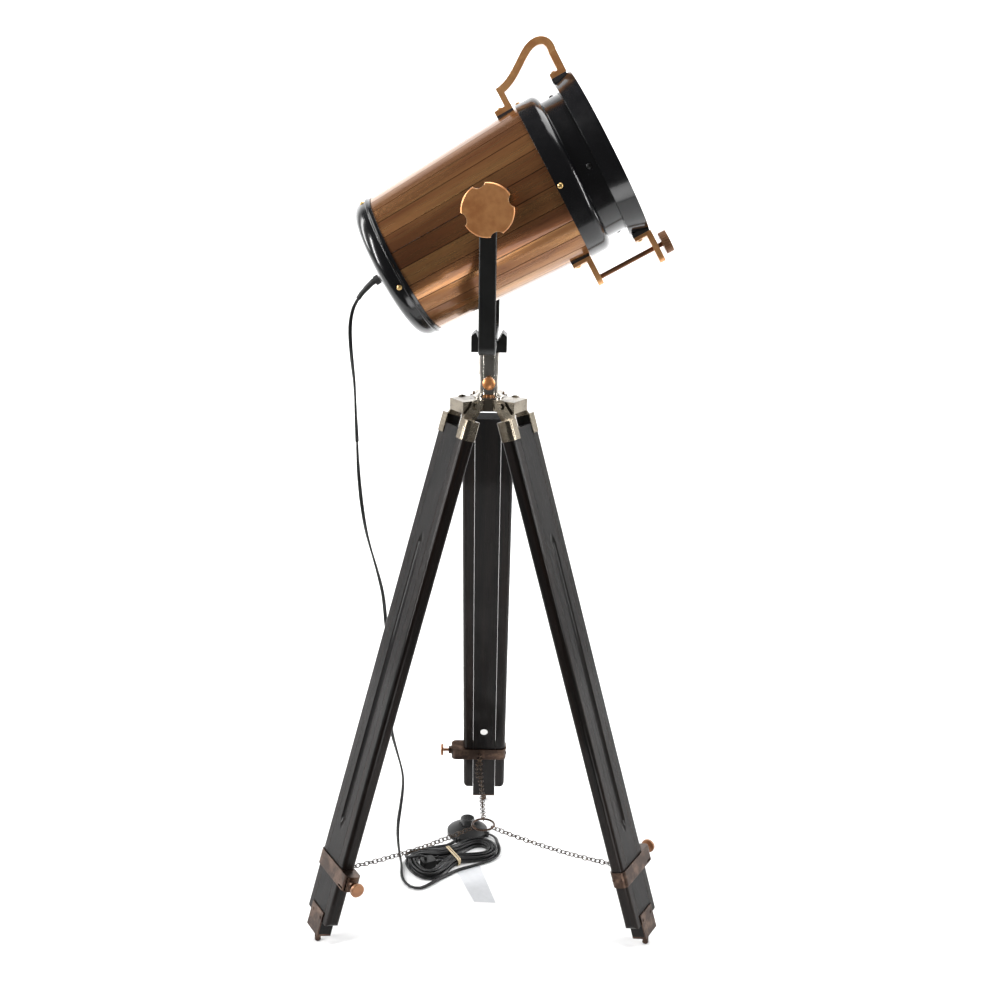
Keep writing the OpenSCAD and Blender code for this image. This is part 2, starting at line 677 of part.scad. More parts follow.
module foot(i) {
  outer = leg_offset + leg_t / 2;
  color("#5d4d38") {
    leg_frame(i) {
      translate([outer, -slat_w / 2, -slat_reach - foot_sole_t])
        cube([foot_plate_t, slat_w, foot_plate_h + foot_sole_t]);
      translate([outer - leg_t, -slat_w / 2, -slat_reach - foot_sole_t])
        cube([leg_t + foot_plate_t, slat_w, foot_sole_t]);
      for (y = [-1, 1]) translate([outer + foot_plate_t, y * slat_w / 3, -slat_reach + foot_plate_h * 0.7])
        rotate([0, 90, 0]) translate([0, 0, -foot_screw_h / 2]) cylinder(h = 1.5 * foot_screw_h, r = foot_screw_r, $fn = 24);
    }
    rotate([0, 0, leg_turns[i]]) difference() {
      translate([foot_r, 0, 0]) {
        cylinder(h = foot_tip, d1 = foot_pin_d - 2 * foot_tip, d2 = foot_pin_d);
        translate([0, 0, foot_tip]) cylinder(h = 2 * foot_pin_h, d = foot_pin_d);
      }
      translate([hinge_r, 0, hinge_z]) rotate([0, -leg_lean, 0])
        translate([outer - 2 * leg_t, -slat_w, -slat_reach - foot_sole_t / 2]) cube([4 * leg_t, 2 * slat_w, 8 * foot_pin_h]);
    }
  }
}
module clamp_section(grow) {
  rounded_rect(2 * (clamp_in_x + grow), 2 * (clamp_in_y + grow), rail_corner_r + grow);
}
module clamp(i) {
  out_x = clamp_in_x + clamp_wall;
  out_y = clamp_in_y + clamp_wall;
  color("#57472f") leg_frame(i) translate([leg_offset, 0, -clamp_top - clamp_h]) {
    difference() {
      union() {
        linear_extrude(clamp_h) clamp_section(clamp_wall);
        linear_extrude(clamp_h) translate([0, out_y]) rounded_rect(2 * out_x, 2 * clamp_out, rail_corner_r + clamp_wall);
        translate([0, out_y + clamp_out - 0.5, clamp_h / 2]) rotate([-90, 0, 0])
          cylinder(h = clamp_boss_t + 0.5, r = clamp_boss_r, $fn = 32);
      }
      translate([0, 0, -1]) linear_extrude(clamp_h + 2) clamp_section(0);
      translate([-out_x + clamp_wall, out_y, clamp_wall])
        cube([2 * clamp_in_x, clamp_out - clamp_wall, clamp_h - 2 * clamp_wall]);
      translate([-2 * out_x, out_y, clamp_wall]) cube([4 * out_x, clamp_out - rail_corner_r, clamp_slot_h]);
      translate([0, 0, clamp_h / 2]) rotate([-90, 0, 0])
        cylinder(h = out_y + clamp_out + 2 * clamp_boss_t, d = clamp_screw_d + 2 * run_fit);
    }
    for (x = [-1, 1]) translate([x * out_x / 2, -out_y + 0.3, clamp_h / 2]) rotate([90, 0, 0])
      cylinder(h = rivet_h + 0.3, r = rivet_r, $fn = 24);
    translate([-out_x, staple_side, clamp_h / 2]) rotate([0, 0, 90]) translate([0, -staple_sink, 0])
      rotate_extrude(angle = 180, $fn = 48) translate([staple_r, 0]) circle(d = staple_wire, $fn = 24);
  }
}
module clamp_screw(i) {
  tip = clamp_in_y - face_gap / 2;
  head = clamp_in_y + clamp_wall + clamp_out + clamp_boss_t + clamp_screw_show;
  color("#a5673f") leg_frame(i) translate([leg_offset, 0, -clamp_mid]) rotate([-90, 0, 0]) {
    translate([0, 0, tip]) cylinder(h = head - tip + 0.5, d = clamp_screw_d);
    translate([0, 0, head]) {
      cylinder(h = clamp_head_t * 0.75, d = clamp_head_d);
      translate([0, 0, clamp_head_t * 0.75]) cylinder(h = clamp_head_t * 0.25, d1 = clamp_head_d, d2 = clamp_head_d - 2);
    }
  }
}
module chain(i) {
  span = chain_to - chain_from;
  color("#57472f") rotate([0, 0, leg_turns[i]]) for (k = [0 : link_count - 1]) {
    t = k / (link_count - 1);
    slope = (span[2] - 4 * chain_sag * (1 - 2 * t)) / norm([span[0], span[1]]);
    translate(chain_from + t * span - [0, 0, 4 * chain_sag * t * (1 - t)])
      rotate([0, -atan(slope), atan2(span[1], span[0])]) rotate([k % 2 == 0 ? 90 : 0, 0, 0])
        rotate_extrude($fn = 32) translate([link_r, 0]) circle(d = link_wire, $fn = 16);
  }
}

module hub() {
  color("#8d8576") difference() {
    union() {
      translate([0, 0, hinge_z - hub_below]) cylinder(h = hub_above + hub_below, r = hub_r);
      for (a = leg_turns) rotate([0, 0, a]) translate([0, -lug_w / 2, hinge_z - hub_below])
        cube([lug_end_r, lug_w, hub_above + hub_below]);
    }
    translate([0, 0, hinge_z - hub_below + arch_rise - arch_r]) sphere(arch_r);
    for (a = leg_turns) rotate([0, 0, a]) translate([hinge_r, -lug_w, hinge_z]) rotate([-90, 0, 0])
      cylinder(h = 2 * lug_w, d = hinge_bolt_d + 2 * run_fit);
  }
}
module hinge_bolts() {
  ear_out = rail_gap + ear_t + face_gap / 2;
  color("#8d8576") for (a = leg_turns) rotate([0, 0, a]) translate([hinge_r, 0, hinge_z]) rotate([-90, 0, 0]) {
    translate([0, 0, -ear_out - 1]) cylinder(h = 2 * ear_out + 2, d = hinge_bolt_d);
    for (s = [0, 1]) mirror([0, 0, s]) translate([0, 0, ear_out]) cylinder(h = bolt_head_t, r = bolt_head_r, $fn = 6);
  }
}
module socket_tube() {
  tube_r = socket_tube_d / 2;
  color("#8d8576") translate([0, 0, hub_top]) difference() {
    union() {
      cylinder(h = 1.5, r = flange_r);
      translate([0, 0, 1.5]) cylinder(h = flange_h - 1.5, r1 = flange_r - 2, r2 = tube_r + 1.5);
      cylinder(h = flange_h + socket_tube_h, r = tube_r);
    }
    translate([0, 0, 1.5]) cylinder(h = flange_h + socket_tube_h, d = spigot_d + 2 * run_fit);
    translate([0, 0, flange_h + lock_screw_h]) rotate([90, 0, 0])
      cylinder(h = socket_tube_d, d = lock_screw_d + 2 * run_fit);
  }
}
module lock_screw() {
  tube_r = socket_tube_d / 2;
  color("#a5573a") translate([0, 0, lock_z]) rotate([90, 0, 0]) {
    translate([0, 0, spigot_d / 2 + face_gap])
      cylinder(h = tube_r - spigot_d / 2 + lock_neck, d = lock_screw_d);
    translate([0, 0, tube_r + face_gap]) cylinder(h = lock_neck, r = lock_screw_d, $fn = 6);
    translate([0, 0, tube_r + face_gap + lock_neck]) intersection() {
      cylinder(h = lock_head_t, d = lock_head_d);
      translate([0, 0, lock_head_t - lock_head_d * 0.8]) sphere(lock_head_d * 0.8);
    }
  }
}
module chain_ring() {
  color("#6b5338") translate([0, 0, chain_ring_h])
    rotate_extrude() translate([ring_wire_r, 0]) circle(d = chain_ring_wire, $fn = 32);
}

module pan_stem() {
  color("#8d8576") {
    translate([0, 0, sleeve_z + face_gap / 2]) cylinder(h = sleeve_h - face_gap / 2, d = sleeve_d);
    translate([0, 0, hub_top + spigot_foot]) cylinder(h = flange_h + socket_tube_h, d = spigot_d);
  }
}
module saddle() {
  color("#151515") translate([0, 0, sleeve_top]) rotate([0, 0, head_turn]) {
    linear_extrude(saddle_floor_t) rounded_rect(saddle_w, saddle_depth, 2);
    for (s = [0, 1]) mirror([s, 0, 0]) translate([0, saddle_depth / 2, 0]) rotate([90, 0, 0])
      linear_extrude(saddle_depth) polygon([
        [yoke_w / 2 + face_gap, 0], [saddle_w / 2, 0], [saddle_w / 2, saddle_h - 4],
        [saddle_w / 2 - 4, saddle_h], [saddle_w / 2 - saddle_side_t, saddle_h],
        [yoke_w / 2 + face_gap, saddle_floor_t + 1]
      ]);
    translate([0, 0, saddle_floor_t + yoke_t]) cylinder(h = saddle_bolt_h, r = saddle_bolt_r, $fn = 6);
  }
}
module bar_section() {
  polygon([
    [0, yoke_edge - yoke_w / 2], [yoke_edge, -yoke_w / 2], [yoke_t - yoke_edge, -yoke_w / 2],
    [yoke_t, yoke_edge - yoke_w / 2], [yoke_t, yoke_w / 2 - yoke_edge], [yoke_t - yoke_edge, yoke_w / 2],
    [yoke_edge, yoke_w / 2], [0, yoke_w / 2 - yoke_edge]
  ]);
}
module yoke() {
  straight = arm_out - yoke_bend_r;
  arm_foot = crossbar_z + yoke_bend_r;
  color("#1b1b1a") rotate([0, 0, head_turn]) {
    translate([0, -straight, crossbar_z]) rotate([-90, 0, 0]) linear_extrude(2 * straight)
      rotate([0, 0, -90]) bar_section();
    for (s = [0, 1]) mirror([0, s, 0]) {
      translate([0, straight, arm_foot]) rotate([-90, 0, 90]) rotate_extrude(angle = 90)
        translate([bend_in, 0]) bar_section();
      difference() {
        translate([0, arm_in, arm_foot]) linear_extrude(pivot_z + yoke_end_h - arm_foot)
          rotate([0, 0, 90]) bar_section();
        translate([0, arm_in - 1, pivot_z]) rotate([-90, 0, 0]) cylinder(h = yoke_t + 2, d = stud_d + 2 * run_fit);
      }
    }
  }
}
// Z runs outwards along the tilt axis from the middle of the yoke, and Y points up
module tilt_axis(far) {
  yoke_frame() mirror([0, far ? 1 : 0, 0]) rotate([90, 0, 0]) children();
}
module pivot_plates() {
  color("#161616") for (far = [false, true]) tilt_axis(far) translate([0, 0, plate_in]) difference() {
    linear_extrude(pivot_plate_t) rounded_rect(pivot_plate_w, pivot_plate_w, 3);
    translate([0, 0, -1]) cylinder(h = pivot_plate_t + 2, d = stud_d + 2 * run_fit);
  }
}
module tilt_knob(far) {
  rim = knob_d / 2;
  color("#a8683c") tilt_axis(far) {
    translate([0, 0, stud_tip]) cylinder(h = knob_in - stud_tip + 1, d = stud_d);
    translate([0, 0, arm_out + face_gap]) cylinder(h = knob_off, r = knob_hub_r);
    translate([0, 0, knob_in]) difference() {
      rotate_extrude() union() {
        square([rim - knob_edge, knob_t]);
        translate([0, knob_edge]) square([rim, knob_t - 2 * knob_edge]);
        for (z = [knob_edge, knob_t - knob_edge]) translate([rim - knob_edge, z]) circle(knob_edge);
      }
      for (k = [0 : knob_notches - 1]) rotate([0, 0, notch_turn + 360 * k / knob_notches])
        translate([notch_reach, 0, -1]) cylinder(h = knob_t + 2, r = knob_notch_r);
    }
  }
}

module shell_cone(grow, rear, front) {
  translate([0, 0, rear]) cylinder(h = front - rear, r1 = shell_r(rear) + grow, r2 = shell_r(front) + grow, $fn = 180);
}
module pivot_bosses() {
  color("#161616") difference() {
    for (far = [false, true]) tilt_axis(far) translate([0, 0, boss_root])
      cylinder(h = boss_end - boss_root, d = pivot_boss_d);
    on_axis() shell_cone(seat_gap, 0, shell_len);
    for (far = [false, true]) tilt_axis(far) translate([0, 0, stud_tip - 1])
      cylinder(h = boss_end, d = stud_d + 2 * run_fit);
  }
}
module shell() {
  side = stave_groove * sqrt(2);
  color("#7b4f2e") on_axis() difference() {
    shell_cone(0, shell_rear, shell_end);
    shell_cone(-shell_wall, shell_rear - 1, shell_end + 1);
    for (k = [0 : stave_count - 1]) rotate([0, 0, 360 * (k + 0.5) / stave_count])
      translate([shell_r(shell_rear), 0, shell_rear]) rotate([0, atan(shell_slope), 0]) rotate([0, 0, 45])
        translate([-side / 2, -side / 2, -2]) cube([side, side, shell_end - shell_rear + 4]);
  }
}
module cap_section(inset) {
  translate([0, cap_edge_at]) square([cap_r - inset, cap_lap - cap_edge_at]);
  intersection() {
    translate([cap_r - cap_edge_r, cap_edge_at]) circle(cap_edge_r - inset);
    translate([0, cap_edge_at - cap_edge_r]) square([cap_r, cap_edge_r]);
  }
  intersection() {
    translate([0, cap_dome_at]) circle(cap_dome_r - inset, $fn = 720);
    translate([0, -cap_depth]) square([cap_dome_end, cap_depth + cap_edge_at]);
  }
}
module back_cap() {
  color("#0e0e10") on_axis() difference() {
    rotate_extrude($fn = 180) difference() {
      union() {
        cap_section(0);
        translate([cap_r, bead_at]) circle(bead_r, $fn = 32);
      }
      cap_section(sheet_t);
    }
    translate([0, 0, -cap_depth - 1]) cylinder(h = sheet_t + 2, r = gland_stem_r + run_fit);
  }
}
module screws_round(at, r, first, count) {
  for (k = [0 : count - 1]) rotate([0, 0, first + 360 * k / count]) translate([r, 0, at])
    rotate([0, 90, 0]) domed_screw(screw_r, screw_h);
}
module strap_screw(turn, at, r) {
  head_frame() rotate([turn, 0, 0]) translate([at, 0, r + seat_gap]) domed_screw(screw_r, screw_h);
}
module case_screws() {
  color("#b98a4a") {
    on_axis() {
      screws_round(cap_screw_at, cap_r + seat_gap, cap_screw_turn, 4);
      screws_round(collar_screw_at, collar_r + seat_gap, collar_screw_turn, 4);
    }
    strap_screw(0, handle_foot_rear[0] + 7, handle_foot_r[0] + foot_t);
    strap_screw(0, handle_foot_front[0] + 5, handle_foot_r[1] + foot_t);
    strap_screw(180 - bracket_turn, bracket_foot_rear[0] + 6, bracket_foot_r[0] + bracket_foot_t);
    strap_screw(180 - bracket_turn, bracket_foot_front[0] + 6, bracket_foot_r[1] + bracket_foot_t);
  }
}
module collar() {
  color("#0e0e10") on_axis() rotate_extrude($fn = 180) difference() {
    union() {
      translate([0, shell_len]) square([collar_r, collar_len - collar_edge_r]);
      translate([0, shell_len]) square([collar_r - collar_edge_r, collar_len]);
      translate([collar_r - collar_edge_r, collar_front - collar_edge_r]) circle(collar_edge_r);
    }
    polygon([
      [0, shell_len - 1], [shell_r(shell_len - 1) + seat_gap, shell_len - 1],
      [shell_r(shell_end) + seat_gap, shell_end + seat_gap], [0, shell_end + seat_gap]
    ]);
    translate([0, shell_end]) square([collar_r - collar_edge_r, collar_front - sheet_t - shell_end]);
    square([neck_r + seat_gap, 2 * collar_front]);
  }
}
module neck() {
  color("#0e0e10") on_axis() translate([0, 0, neck_rear]) difference() {
    cylinder(h = neck_front - neck_rear, r = neck_r, $fn = 180);
    translate([0, 0, -1]) cylinder(h = neck_front - neck_rear + 2, r = neck_r - sheet_t, $fn = 180);
  }
}
module neck_screws() {
  color("#1a1a1a") on_axis() screws_round(neck_screw_at, neck_r + seat_gap, 0, 4);
}
module front_ring() {
  inner = ring_r_rear - ring_wall;
  color("#0e0e10") on_axis() rotate_extrude($fn = 180) difference() {
    polygon([[0, ring_rear], [ring_r_rear, ring_rear], [ring_r_front, ring_front], [0, ring_front]]);
    translate([0, ring_rear + ring_wall]) polygon([
      [0, 0], [inner, 0], [inner + ring_slope * ring_len, ring_len], [0, ring_len]
    ]);
    square([neck_r + seat_gap, 2 * ring_front]);
  }
}
module lens() {
  color("#dfe6e6", 0.5) on_axis() translate([0, 0, neck_front + face_gap]) {
    cylinder(h = lens_rim_t, r = lens_r, $fn = 180);
    translate([0, 0, lens_rim_t]) intersection() {
      cylinder(h = lens_bulge, r = lens_r, $fn = 180);
      translate([0, 0, lens_bulge - lens_dome_r]) sphere(lens_dome_r, $fn = 180);
    }
  }
}

function bezier(p, t) = pow(1 - t, 3) * p[0] + 3 * pow(1 - t, 2) * t * p[1] + 3 * (1 - t) * t * t * p[2] + pow(t, 3) * p[3];
function bezier_line(from, p) = [for (i = [from : bezier_steps]) bezier(p, i / bezier_steps)];
function beside(p, i, off) = let (d = unit(p[min(i + 1, len(p) - 1)] - p[max(i - 1, 0)])) p[i] + off * [-d[1], d[0]];
module strip(p, width) {
  polygon(concat(
    [for (i = [0 : len(p) - 1]) beside(p, i, width / 2)],
    [for (i = [len(p) - 1 : -1 : 0]) beside(p, i, -width / 2)]
  ));
}
module handle() {
  shoulder = upright_at + 50;
  rise = bezier_line(0, [
    [upright_at - upright_t / 2, handle_rise - handle_t / 2], [upright_at + 17, handle_rise - handle_t / 2],
    [upright_at + 34, handle_crest - 8], [shoulder, handle_crest]
  ]);
  fall = bezier_line(1, [
    [shoulder, handle_crest], [upright_at + 64, handle_crest + 6],
    [strut_at + 4, handle_crest + 1], [strut_at, handle_crest - 17]
  ]);
  color("#a5673f") strap(0, strap_w) union() {
    translate([handle_foot_rear[0], handle_foot_r[0]]) square([handle_foot_rear[1] - handle_foot_rear[0], foot_t]);
    translate([handle_foot_front[0], handle_foot_r[1]]) square([handle_foot_front[1] - handle_foot_front[0], foot_t]);
    translate([upright_at - upright_t / 2, handle_foot_r[0]]) square([upright_t, handle_rise - handle_foot_r[0] - 1]);
    translate([strut_at - handle_t / 2, handle_foot_r[1]]) square([handle_t, handle_crest - 16 - handle_foot_r[1]]);
    strip(concat(rise, fall), handle_t);
  }
}
module bracket(foot, foot_r, arm_at, arm_end) {
  head_frame() rotate([180 - bracket_turn, 0, 0]) difference() {
    union() {
      translate([foot[0], -strap_w / 2, foot_r]) cube([foot[1] - foot[0], strap_w, bracket_foot_t]);
      translate([arm_at - bracket_t / 2, 0, 0]) rotate([90, 0, 90]) linear_extrude(bracket_t) union() {
        translate([-strap_w / 2, foot_r]) square([strap_w, arm_end - strap_w / 2 - foot_r]);
        translate([0, arm_end - strap_w / 2]) circle(strap_w / 2);
      }
    }
    translate([arm_at - bracket_t, 0, rod_axis_r]) rotate([0, 90, 0]) cylinder(h = 2 * bracket_t, d = rod_d + 2 * run_fit);
  }
}
module rod_brackets() {
  color("#a5673f") {
    bracket(bracket_foot_rear, bracket_foot_r[0], rear_arm_at, rear_arm_end);
    bracket(bracket_foot_front, bracket_foot_r[1], front_arm_at, front_arm_end);
  }
}
module pad(turn, foot, foot_r) {
  head_frame() rotate([turn, 0, 0]) translate([foot[0], -strap_w / 2, foot_r - 3 * pad_t])
    cube([foot[1] - foot[0], strap_w, 3 * pad_t - seat_gap]);
}
module foot_pads() {
  color("#141414") difference() {
    union() {
      pad(0, handle_foot_rear, handle_foot_r[0]);
      pad(0, handle_foot_front, handle_foot_r[1]);
      pad(180 - bracket_turn, bracket_foot_rear, bracket_foot_r[0]);
      pad(180 - bracket_turn, bracket_foot_front, bracket_foot_r[1]);
    }
    on_axis() {
      shell_cone(seat_gap, 0, shell_len);
      translate([0, 0, ring_rear - 2]) cylinder(
        h = ring_len + 2, r1 = ring_r(ring_rear - 2) + seat_gap, r2 = ring_r_front + seat_gap, $fn = 180);
    }
  }
}
module rod_knob() {
  color("#a5673f") head_frame() rotate([180 - bracket_turn, 0, 0]) translate([0, 0, rod_axis_r]) rotate([0, 90, 0]) {
    translate([0, 0, rod_rear]) cylinder(h = rod_knob_at - rod_rear + 1, d = rod_d);
    translate([0, 0, rod_knob_at]) difference() {
      cylinder(h = rod_knob_t, d = rod_knob_d);
      for (k = [0 : knurl_count - 1]) rotate([0, 0, 360 * k / knurl_count])
        translate([rod_knob_d / 2 + knurl_r / 2, 0, -1]) cylinder(h = rod_knob_t + 2, r = knurl_r, $fn = 16);
    }
  }
}
module lamp_socket() {
  color("#e8e4da") on_axis() translate([0, 0, socket_rear]) difference() {
    union() {
      cylinder(h = socket_flange_t, r = socket_flange_r);
      cylinder(h = socket_len, d = socket_d);
    }
    translate([0, 0, -1]) cylinder(h = socket_hollow + 1, r = socket_hollow_r);
    translate([0, 0, socket_len - bulb_cap_in - 2]) cylinder(h = bulb_cap_in + 3, d = bulb_cap_d + 4 * face_gap);
  }
}
module bulb() {
  ball_at = bulb_len - bulb_d / 2;
  color("#f4f1e6") on_axis() translate([0, 0, socket_front + face_gap]) {
    cylinder(h = bulb_d / 3, r = bulb_neck_r);
    translate([0, 0, bulb_d / 6]) cylinder(h = ball_at - bulb_d / 3, r1 = bulb_neck_r, r2 = bulb_d * 0.43);
    translate([0, 0, ball_at]) sphere(d = bulb_d);
  }
}
module bulb_cap() {
  color("#b98a4a") on_axis() translate([0, 0, socket_front - bulb_cap_in]) cylinder(h = bulb_cap_in + face_gap, d = bulb_cap_d);
}
module gland() {
  color("#111111") on_axis() {
    translate([0, 0, -cap_depth - gland_len]) cylinder(h = gland_len - seat_gap, d = gland_d);
    translate([0, 0, -cap_depth - 1]) cylinder(h = sheet_t + 4, r = gland_stem_r);
    translate([0, 0, cap_inside(gland_nut_r)]) cylinder(h = 3, r = gland_nut_r, $fn = 6);
  }
}

module cord_upper() {
  color("#121212") tube_between(free_line, free_dirs, free_flats, 0, split_ring, 8);
}
module cord_lower() {
  color("#121212") tube_between(free_line, free_dirs, free_flats, split_ring, len(free_line) - 1, 8);
}
module cord_link() {
  tube_along(link_line, port_dir(port_out_turn), hank_first, 8);
}
module cord_hank() {
  tube_along(hank_line, hank_first, hank_last, 6);
}
module plug_lead() {
  tube_along(lead_line, hank_last, [0, 0, -1], 8);
}
module hank_frame() {
  translate([hank_at[0], hank_at[1], 0]) rotate([0, 0, hank_turn]) children();
}
module foot_switch() {
  color("#2a2a2c") translate([switch_at[0], switch_at[1], 0]) difference() {
    union() {
      cylinder(h = switch_rim_h, d = switch_d);
      intersection() {
        cylinder(h = switch_h, d = switch_d - dome_step);
        translate([0, 0, dome_z]) sphere(dome_r);
      }
      for (a = [port_in_turn, port_out_turn]) rotate([0, 0, a]) translate([switch_d / 4, 0, port_r]) rotate([0, 90, 0])
        cylinder(h = switch_d / 4 + port_out, r = port_r);
    }
    translate([0, 0, switch_h - button_well]) cylinder(h = button_well + 1, d = button_d + 2 * button_gap);
  }
}
module switch_button() {
  foot = switch_h - button_well + button_travel + 0.5;
  top = switch_h + button_show;
  color("#151515") translate([switch_at[0], switch_at[1], 0]) {
    translate([0, 0, foot]) cylinder(h = top - foot - 1, d = button_d);
    translate([0, 0, top - 1]) cylinder(h = 1, d1 = button_d, d2 = button_d - 2);
  }
}
module hank_tie() {
  color("#cdb58c") hank_frame() translate([-tie_w / 2, 0, 0]) rotate([90, 0, 90]) linear_extrude(tie_w) difference() {
    translate([0, (tie_top + tie_t) / 2]) rounded_rect(2 * (tie_half + tie_t), tie_top + tie_t, 5);
    translate([0, tie_top / 2 + tie_t / 2]) rounded_rect(2 * tie_half, tie_top - tie_t, 4);
  }
}
module tag() {
  color("#f2f1ee") linear_extrude(tag_t) polygon(tag_outline);
}
module plug() {
  color("#141414") hank_frame() translate([plug_at[0], plug_at[1], 0]) {
    linear_extrude(plug_h) rounded_rect(plug_len, plug_w, 3);
    for (s = [-1, 1]) translate([plug_len / 2 - 1, s * blade_gap / 2 - blade_t / 2, plug_h / 2 - blade_w / 2])
      cube([blade_len + 1, blade_t, blade_w]);
  }
}

hub();
hinge_bolts();
socket_tube();
lock_screw();
chain_ring();
pan_stem();
saddle();
yoke();
pivot_plates();
tilt_knob(false);  // tilt_knob_near
tilt_knob(true);  // tilt_knob_far
pivot_bosses();
shell();
back_cap();
case_screws();
collar();
neck();
neck_screws();
front_ring();
lens();
handle();
rod_brackets();
foot_pads();
rod_knob();
lamp_socket();
bulb();
bulb_cap();
gland();
cord_upper();
cord_lower();
foot_switch();
switch_button();
cord_link();
cord_hank();
hank_tie();
tag();
plug_lead();
plug();
for (i = [0 : 2]) rails(i);
for (i = [0 : 2]) slat(i);
for (i = [0 : 2]) ferrules(i);
for (i = [0 : 2]) foot(i);
for (i = [0 : 2]) clamp(i);
for (i = [0 : 2]) clamp_screw(i);
for (i = [0 : 2]) chain(i);
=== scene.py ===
import math
import random

import bpy
from mathutils import Matrix, Vector


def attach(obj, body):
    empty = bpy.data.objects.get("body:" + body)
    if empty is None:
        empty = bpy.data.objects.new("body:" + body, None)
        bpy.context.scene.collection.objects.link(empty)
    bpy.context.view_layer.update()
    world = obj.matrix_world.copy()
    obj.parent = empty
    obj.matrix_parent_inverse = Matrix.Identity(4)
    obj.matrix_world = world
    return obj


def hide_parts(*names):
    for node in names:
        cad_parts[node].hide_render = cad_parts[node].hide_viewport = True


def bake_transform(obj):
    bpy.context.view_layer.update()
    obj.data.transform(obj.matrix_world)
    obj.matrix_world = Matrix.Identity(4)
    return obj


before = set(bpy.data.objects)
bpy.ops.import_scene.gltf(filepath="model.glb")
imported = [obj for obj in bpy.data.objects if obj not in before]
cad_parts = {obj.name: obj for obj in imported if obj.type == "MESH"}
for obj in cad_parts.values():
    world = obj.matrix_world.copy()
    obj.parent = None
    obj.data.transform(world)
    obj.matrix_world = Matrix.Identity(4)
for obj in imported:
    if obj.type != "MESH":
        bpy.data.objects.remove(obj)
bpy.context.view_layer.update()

sin, cos, tau = math.sin, math.cos, math.tau


# ---- Camera ----
# It stands in front of the lamp at the height of the tilt knobs and looks down a little,
# as a studio camera on a stand does.
eye = Vector((0.0, -1.547, 1.0032))
pan, pitch, roll = 0.0105, 0.2747, 0.0156
ahead = Vector((sin(pan) * cos(pitch), cos(pan) * cos(pitch), -sin(pitch)))
level = Vector((cos(pan), -sin(pan), 0.0))
upright = level.cross(ahead)
camera_x = level * cos(roll) + upright * sin(roll)
camera_y = upright * cos(roll) - level * sin(roll)
camera_data = bpy.data.cameras.new("studio_camera")
camera_data.lens = 45.0
camera_data.sensor_width = 36.0
camera_data.clip_start = 0.05
camera = bpy.data.objects.new("studio_camera", camera_data)
bpy.context.collection.objects.link(camera)
facing = Matrix((camera_x, camera_y, -ahead)).transposed().to_4x4()
camera.matrix_world = Matrix.Translation(eye) @ facing
bpy.context.scene.camera = camera


# ---- Helpers ----
class Shade:
    """One socket of a material's nodes, so that a sum of sockets can be written as Python."""

    def __init__(self, tree, socket):
        self.tree = tree
        self.socket = socket

    def node(self, kind, settings=None, inputs=None, output=0):
        made = self.tree.nodes.new(kind)
        for key, value in (settings or {}).items():
            if key == "stops":
                stops = made.color_ramp.elements
                while len(stops) < len(value):
                    stops.new(1.0)
                for stop, (place, colour) in zip(stops, value):
                    stop.position = place
                    stop.color = (*colour, 1.0)
            else:
                setattr(made, key, value)
        for key, value in (inputs or {}).items():
            if isinstance(value, Shade):
                self.tree.links.new(value.socket, made.inputs[key])
            else:
                made.inputs[key].default_value = value
        return Shade(self.tree, made.outputs[output])

    def sum(self, operation, *values):
        return self.node("ShaderNodeMath", {"operation": operation}, dict(enumerate(values)))

    def __add__(self, other):
        return self.sum("ADD", self, other)

    def __sub__(self, other):
        return self.sum("SUBTRACT", self, other)

    def __rsub__(self, other):
        return self.sum("SUBTRACT", other, self)

    def __mul__(self, other):
        return self.sum("MULTIPLY", self, other)

    def __truediv__(self, other):
        return self.sum("DIVIDE", self, other)

    def step(self, low, high):
        """0 below low, 1 above high, with a soft edge between them."""
        return self.node("ShaderNodeMapRange", {"interpolation_type": "SMOOTHSTEP"},
                         {"Value": self, "From Min": low, "From Max": high})

    def between(self, low, high):
        """Takes 0..1 to low..high."""
        return self * (high - low) + low

    def stretched(self, x, y, z):
        return self.node("ShaderNodeVectorMath", {"operation": "MULTIPLY"}, {0: self, 1: (x, y, z)})

    def grain(self, scale, detail=3.0, rough=0.55):
        inputs = {"Vector": self, "Scale": scale, "Detail": detail, "Roughness": rough}
        return self.node("ShaderNodeTexNoise", {}, inputs)

    def blend(self, first, second):
        """The first colour where this is 0 and the second where it is 1."""
        first, second = [c if isinstance(c, Shade) else (*c, 1.0) for c in (first, second)]
        return self.node("ShaderNodeMix", {"data_type": "RGBA"}, {0: self, 6: first, 7: second}, 2)

    def dent(self, height_mm, under=None):
        """A bump of that height, in millimetres, laid over another one."""
        inputs = {"Height": self, "Strength": 1.0, "Distance": height_mm / 1000}
        if under:
            inputs["Normal"] = under
        return self.node("ShaderNodeBump", {}, inputs)

    def goes_to(self, **sockets):
        """Feeds the finish's own sockets; an underscore stands for a blank."""
        shader = self.tree.nodes["Principled BSDF"]
        for key, value in sockets.items():
            self.tree.links.new(value.socket, shader.inputs[key.replace("_", " ")])


def new_finish(name, **sockets):
    """A material with fixed values on its sockets, and the place on the object, where patterns start."""
    material = bpy.data.materials.new(name)
    material.use_nodes = True
    shader = material.node_tree.nodes["Principled BSDF"]
    for key, value in sockets.items():
        shader.inputs[key.replace("_", " ")].default_value = value
    where = material.node_tree.nodes.new("ShaderNodeTexCoord")
    return material, Shade(material.node_tree, where.outputs["Object"])


def rounded(place, radius_mm):
    """The surface's direction with its sharp edges eased by that radius."""
    return place.node("ShaderNodeBevel", {"samples": 4}, {"Radius": radius_mm / 1000})


def edge_wear(place, eased, reach):
    """1 along the sharp edges and 0 on the faces, from how far the eased surface turns there."""
    true_way = place.node("ShaderNodeNewGeometry", output=1)
    turned = place.node("ShaderNodeVectorMath", {"operation": "DOT_PRODUCT"}, {0: eased, 1: true_way}, 1)
    return (1 - turned).step(0.004, reach)


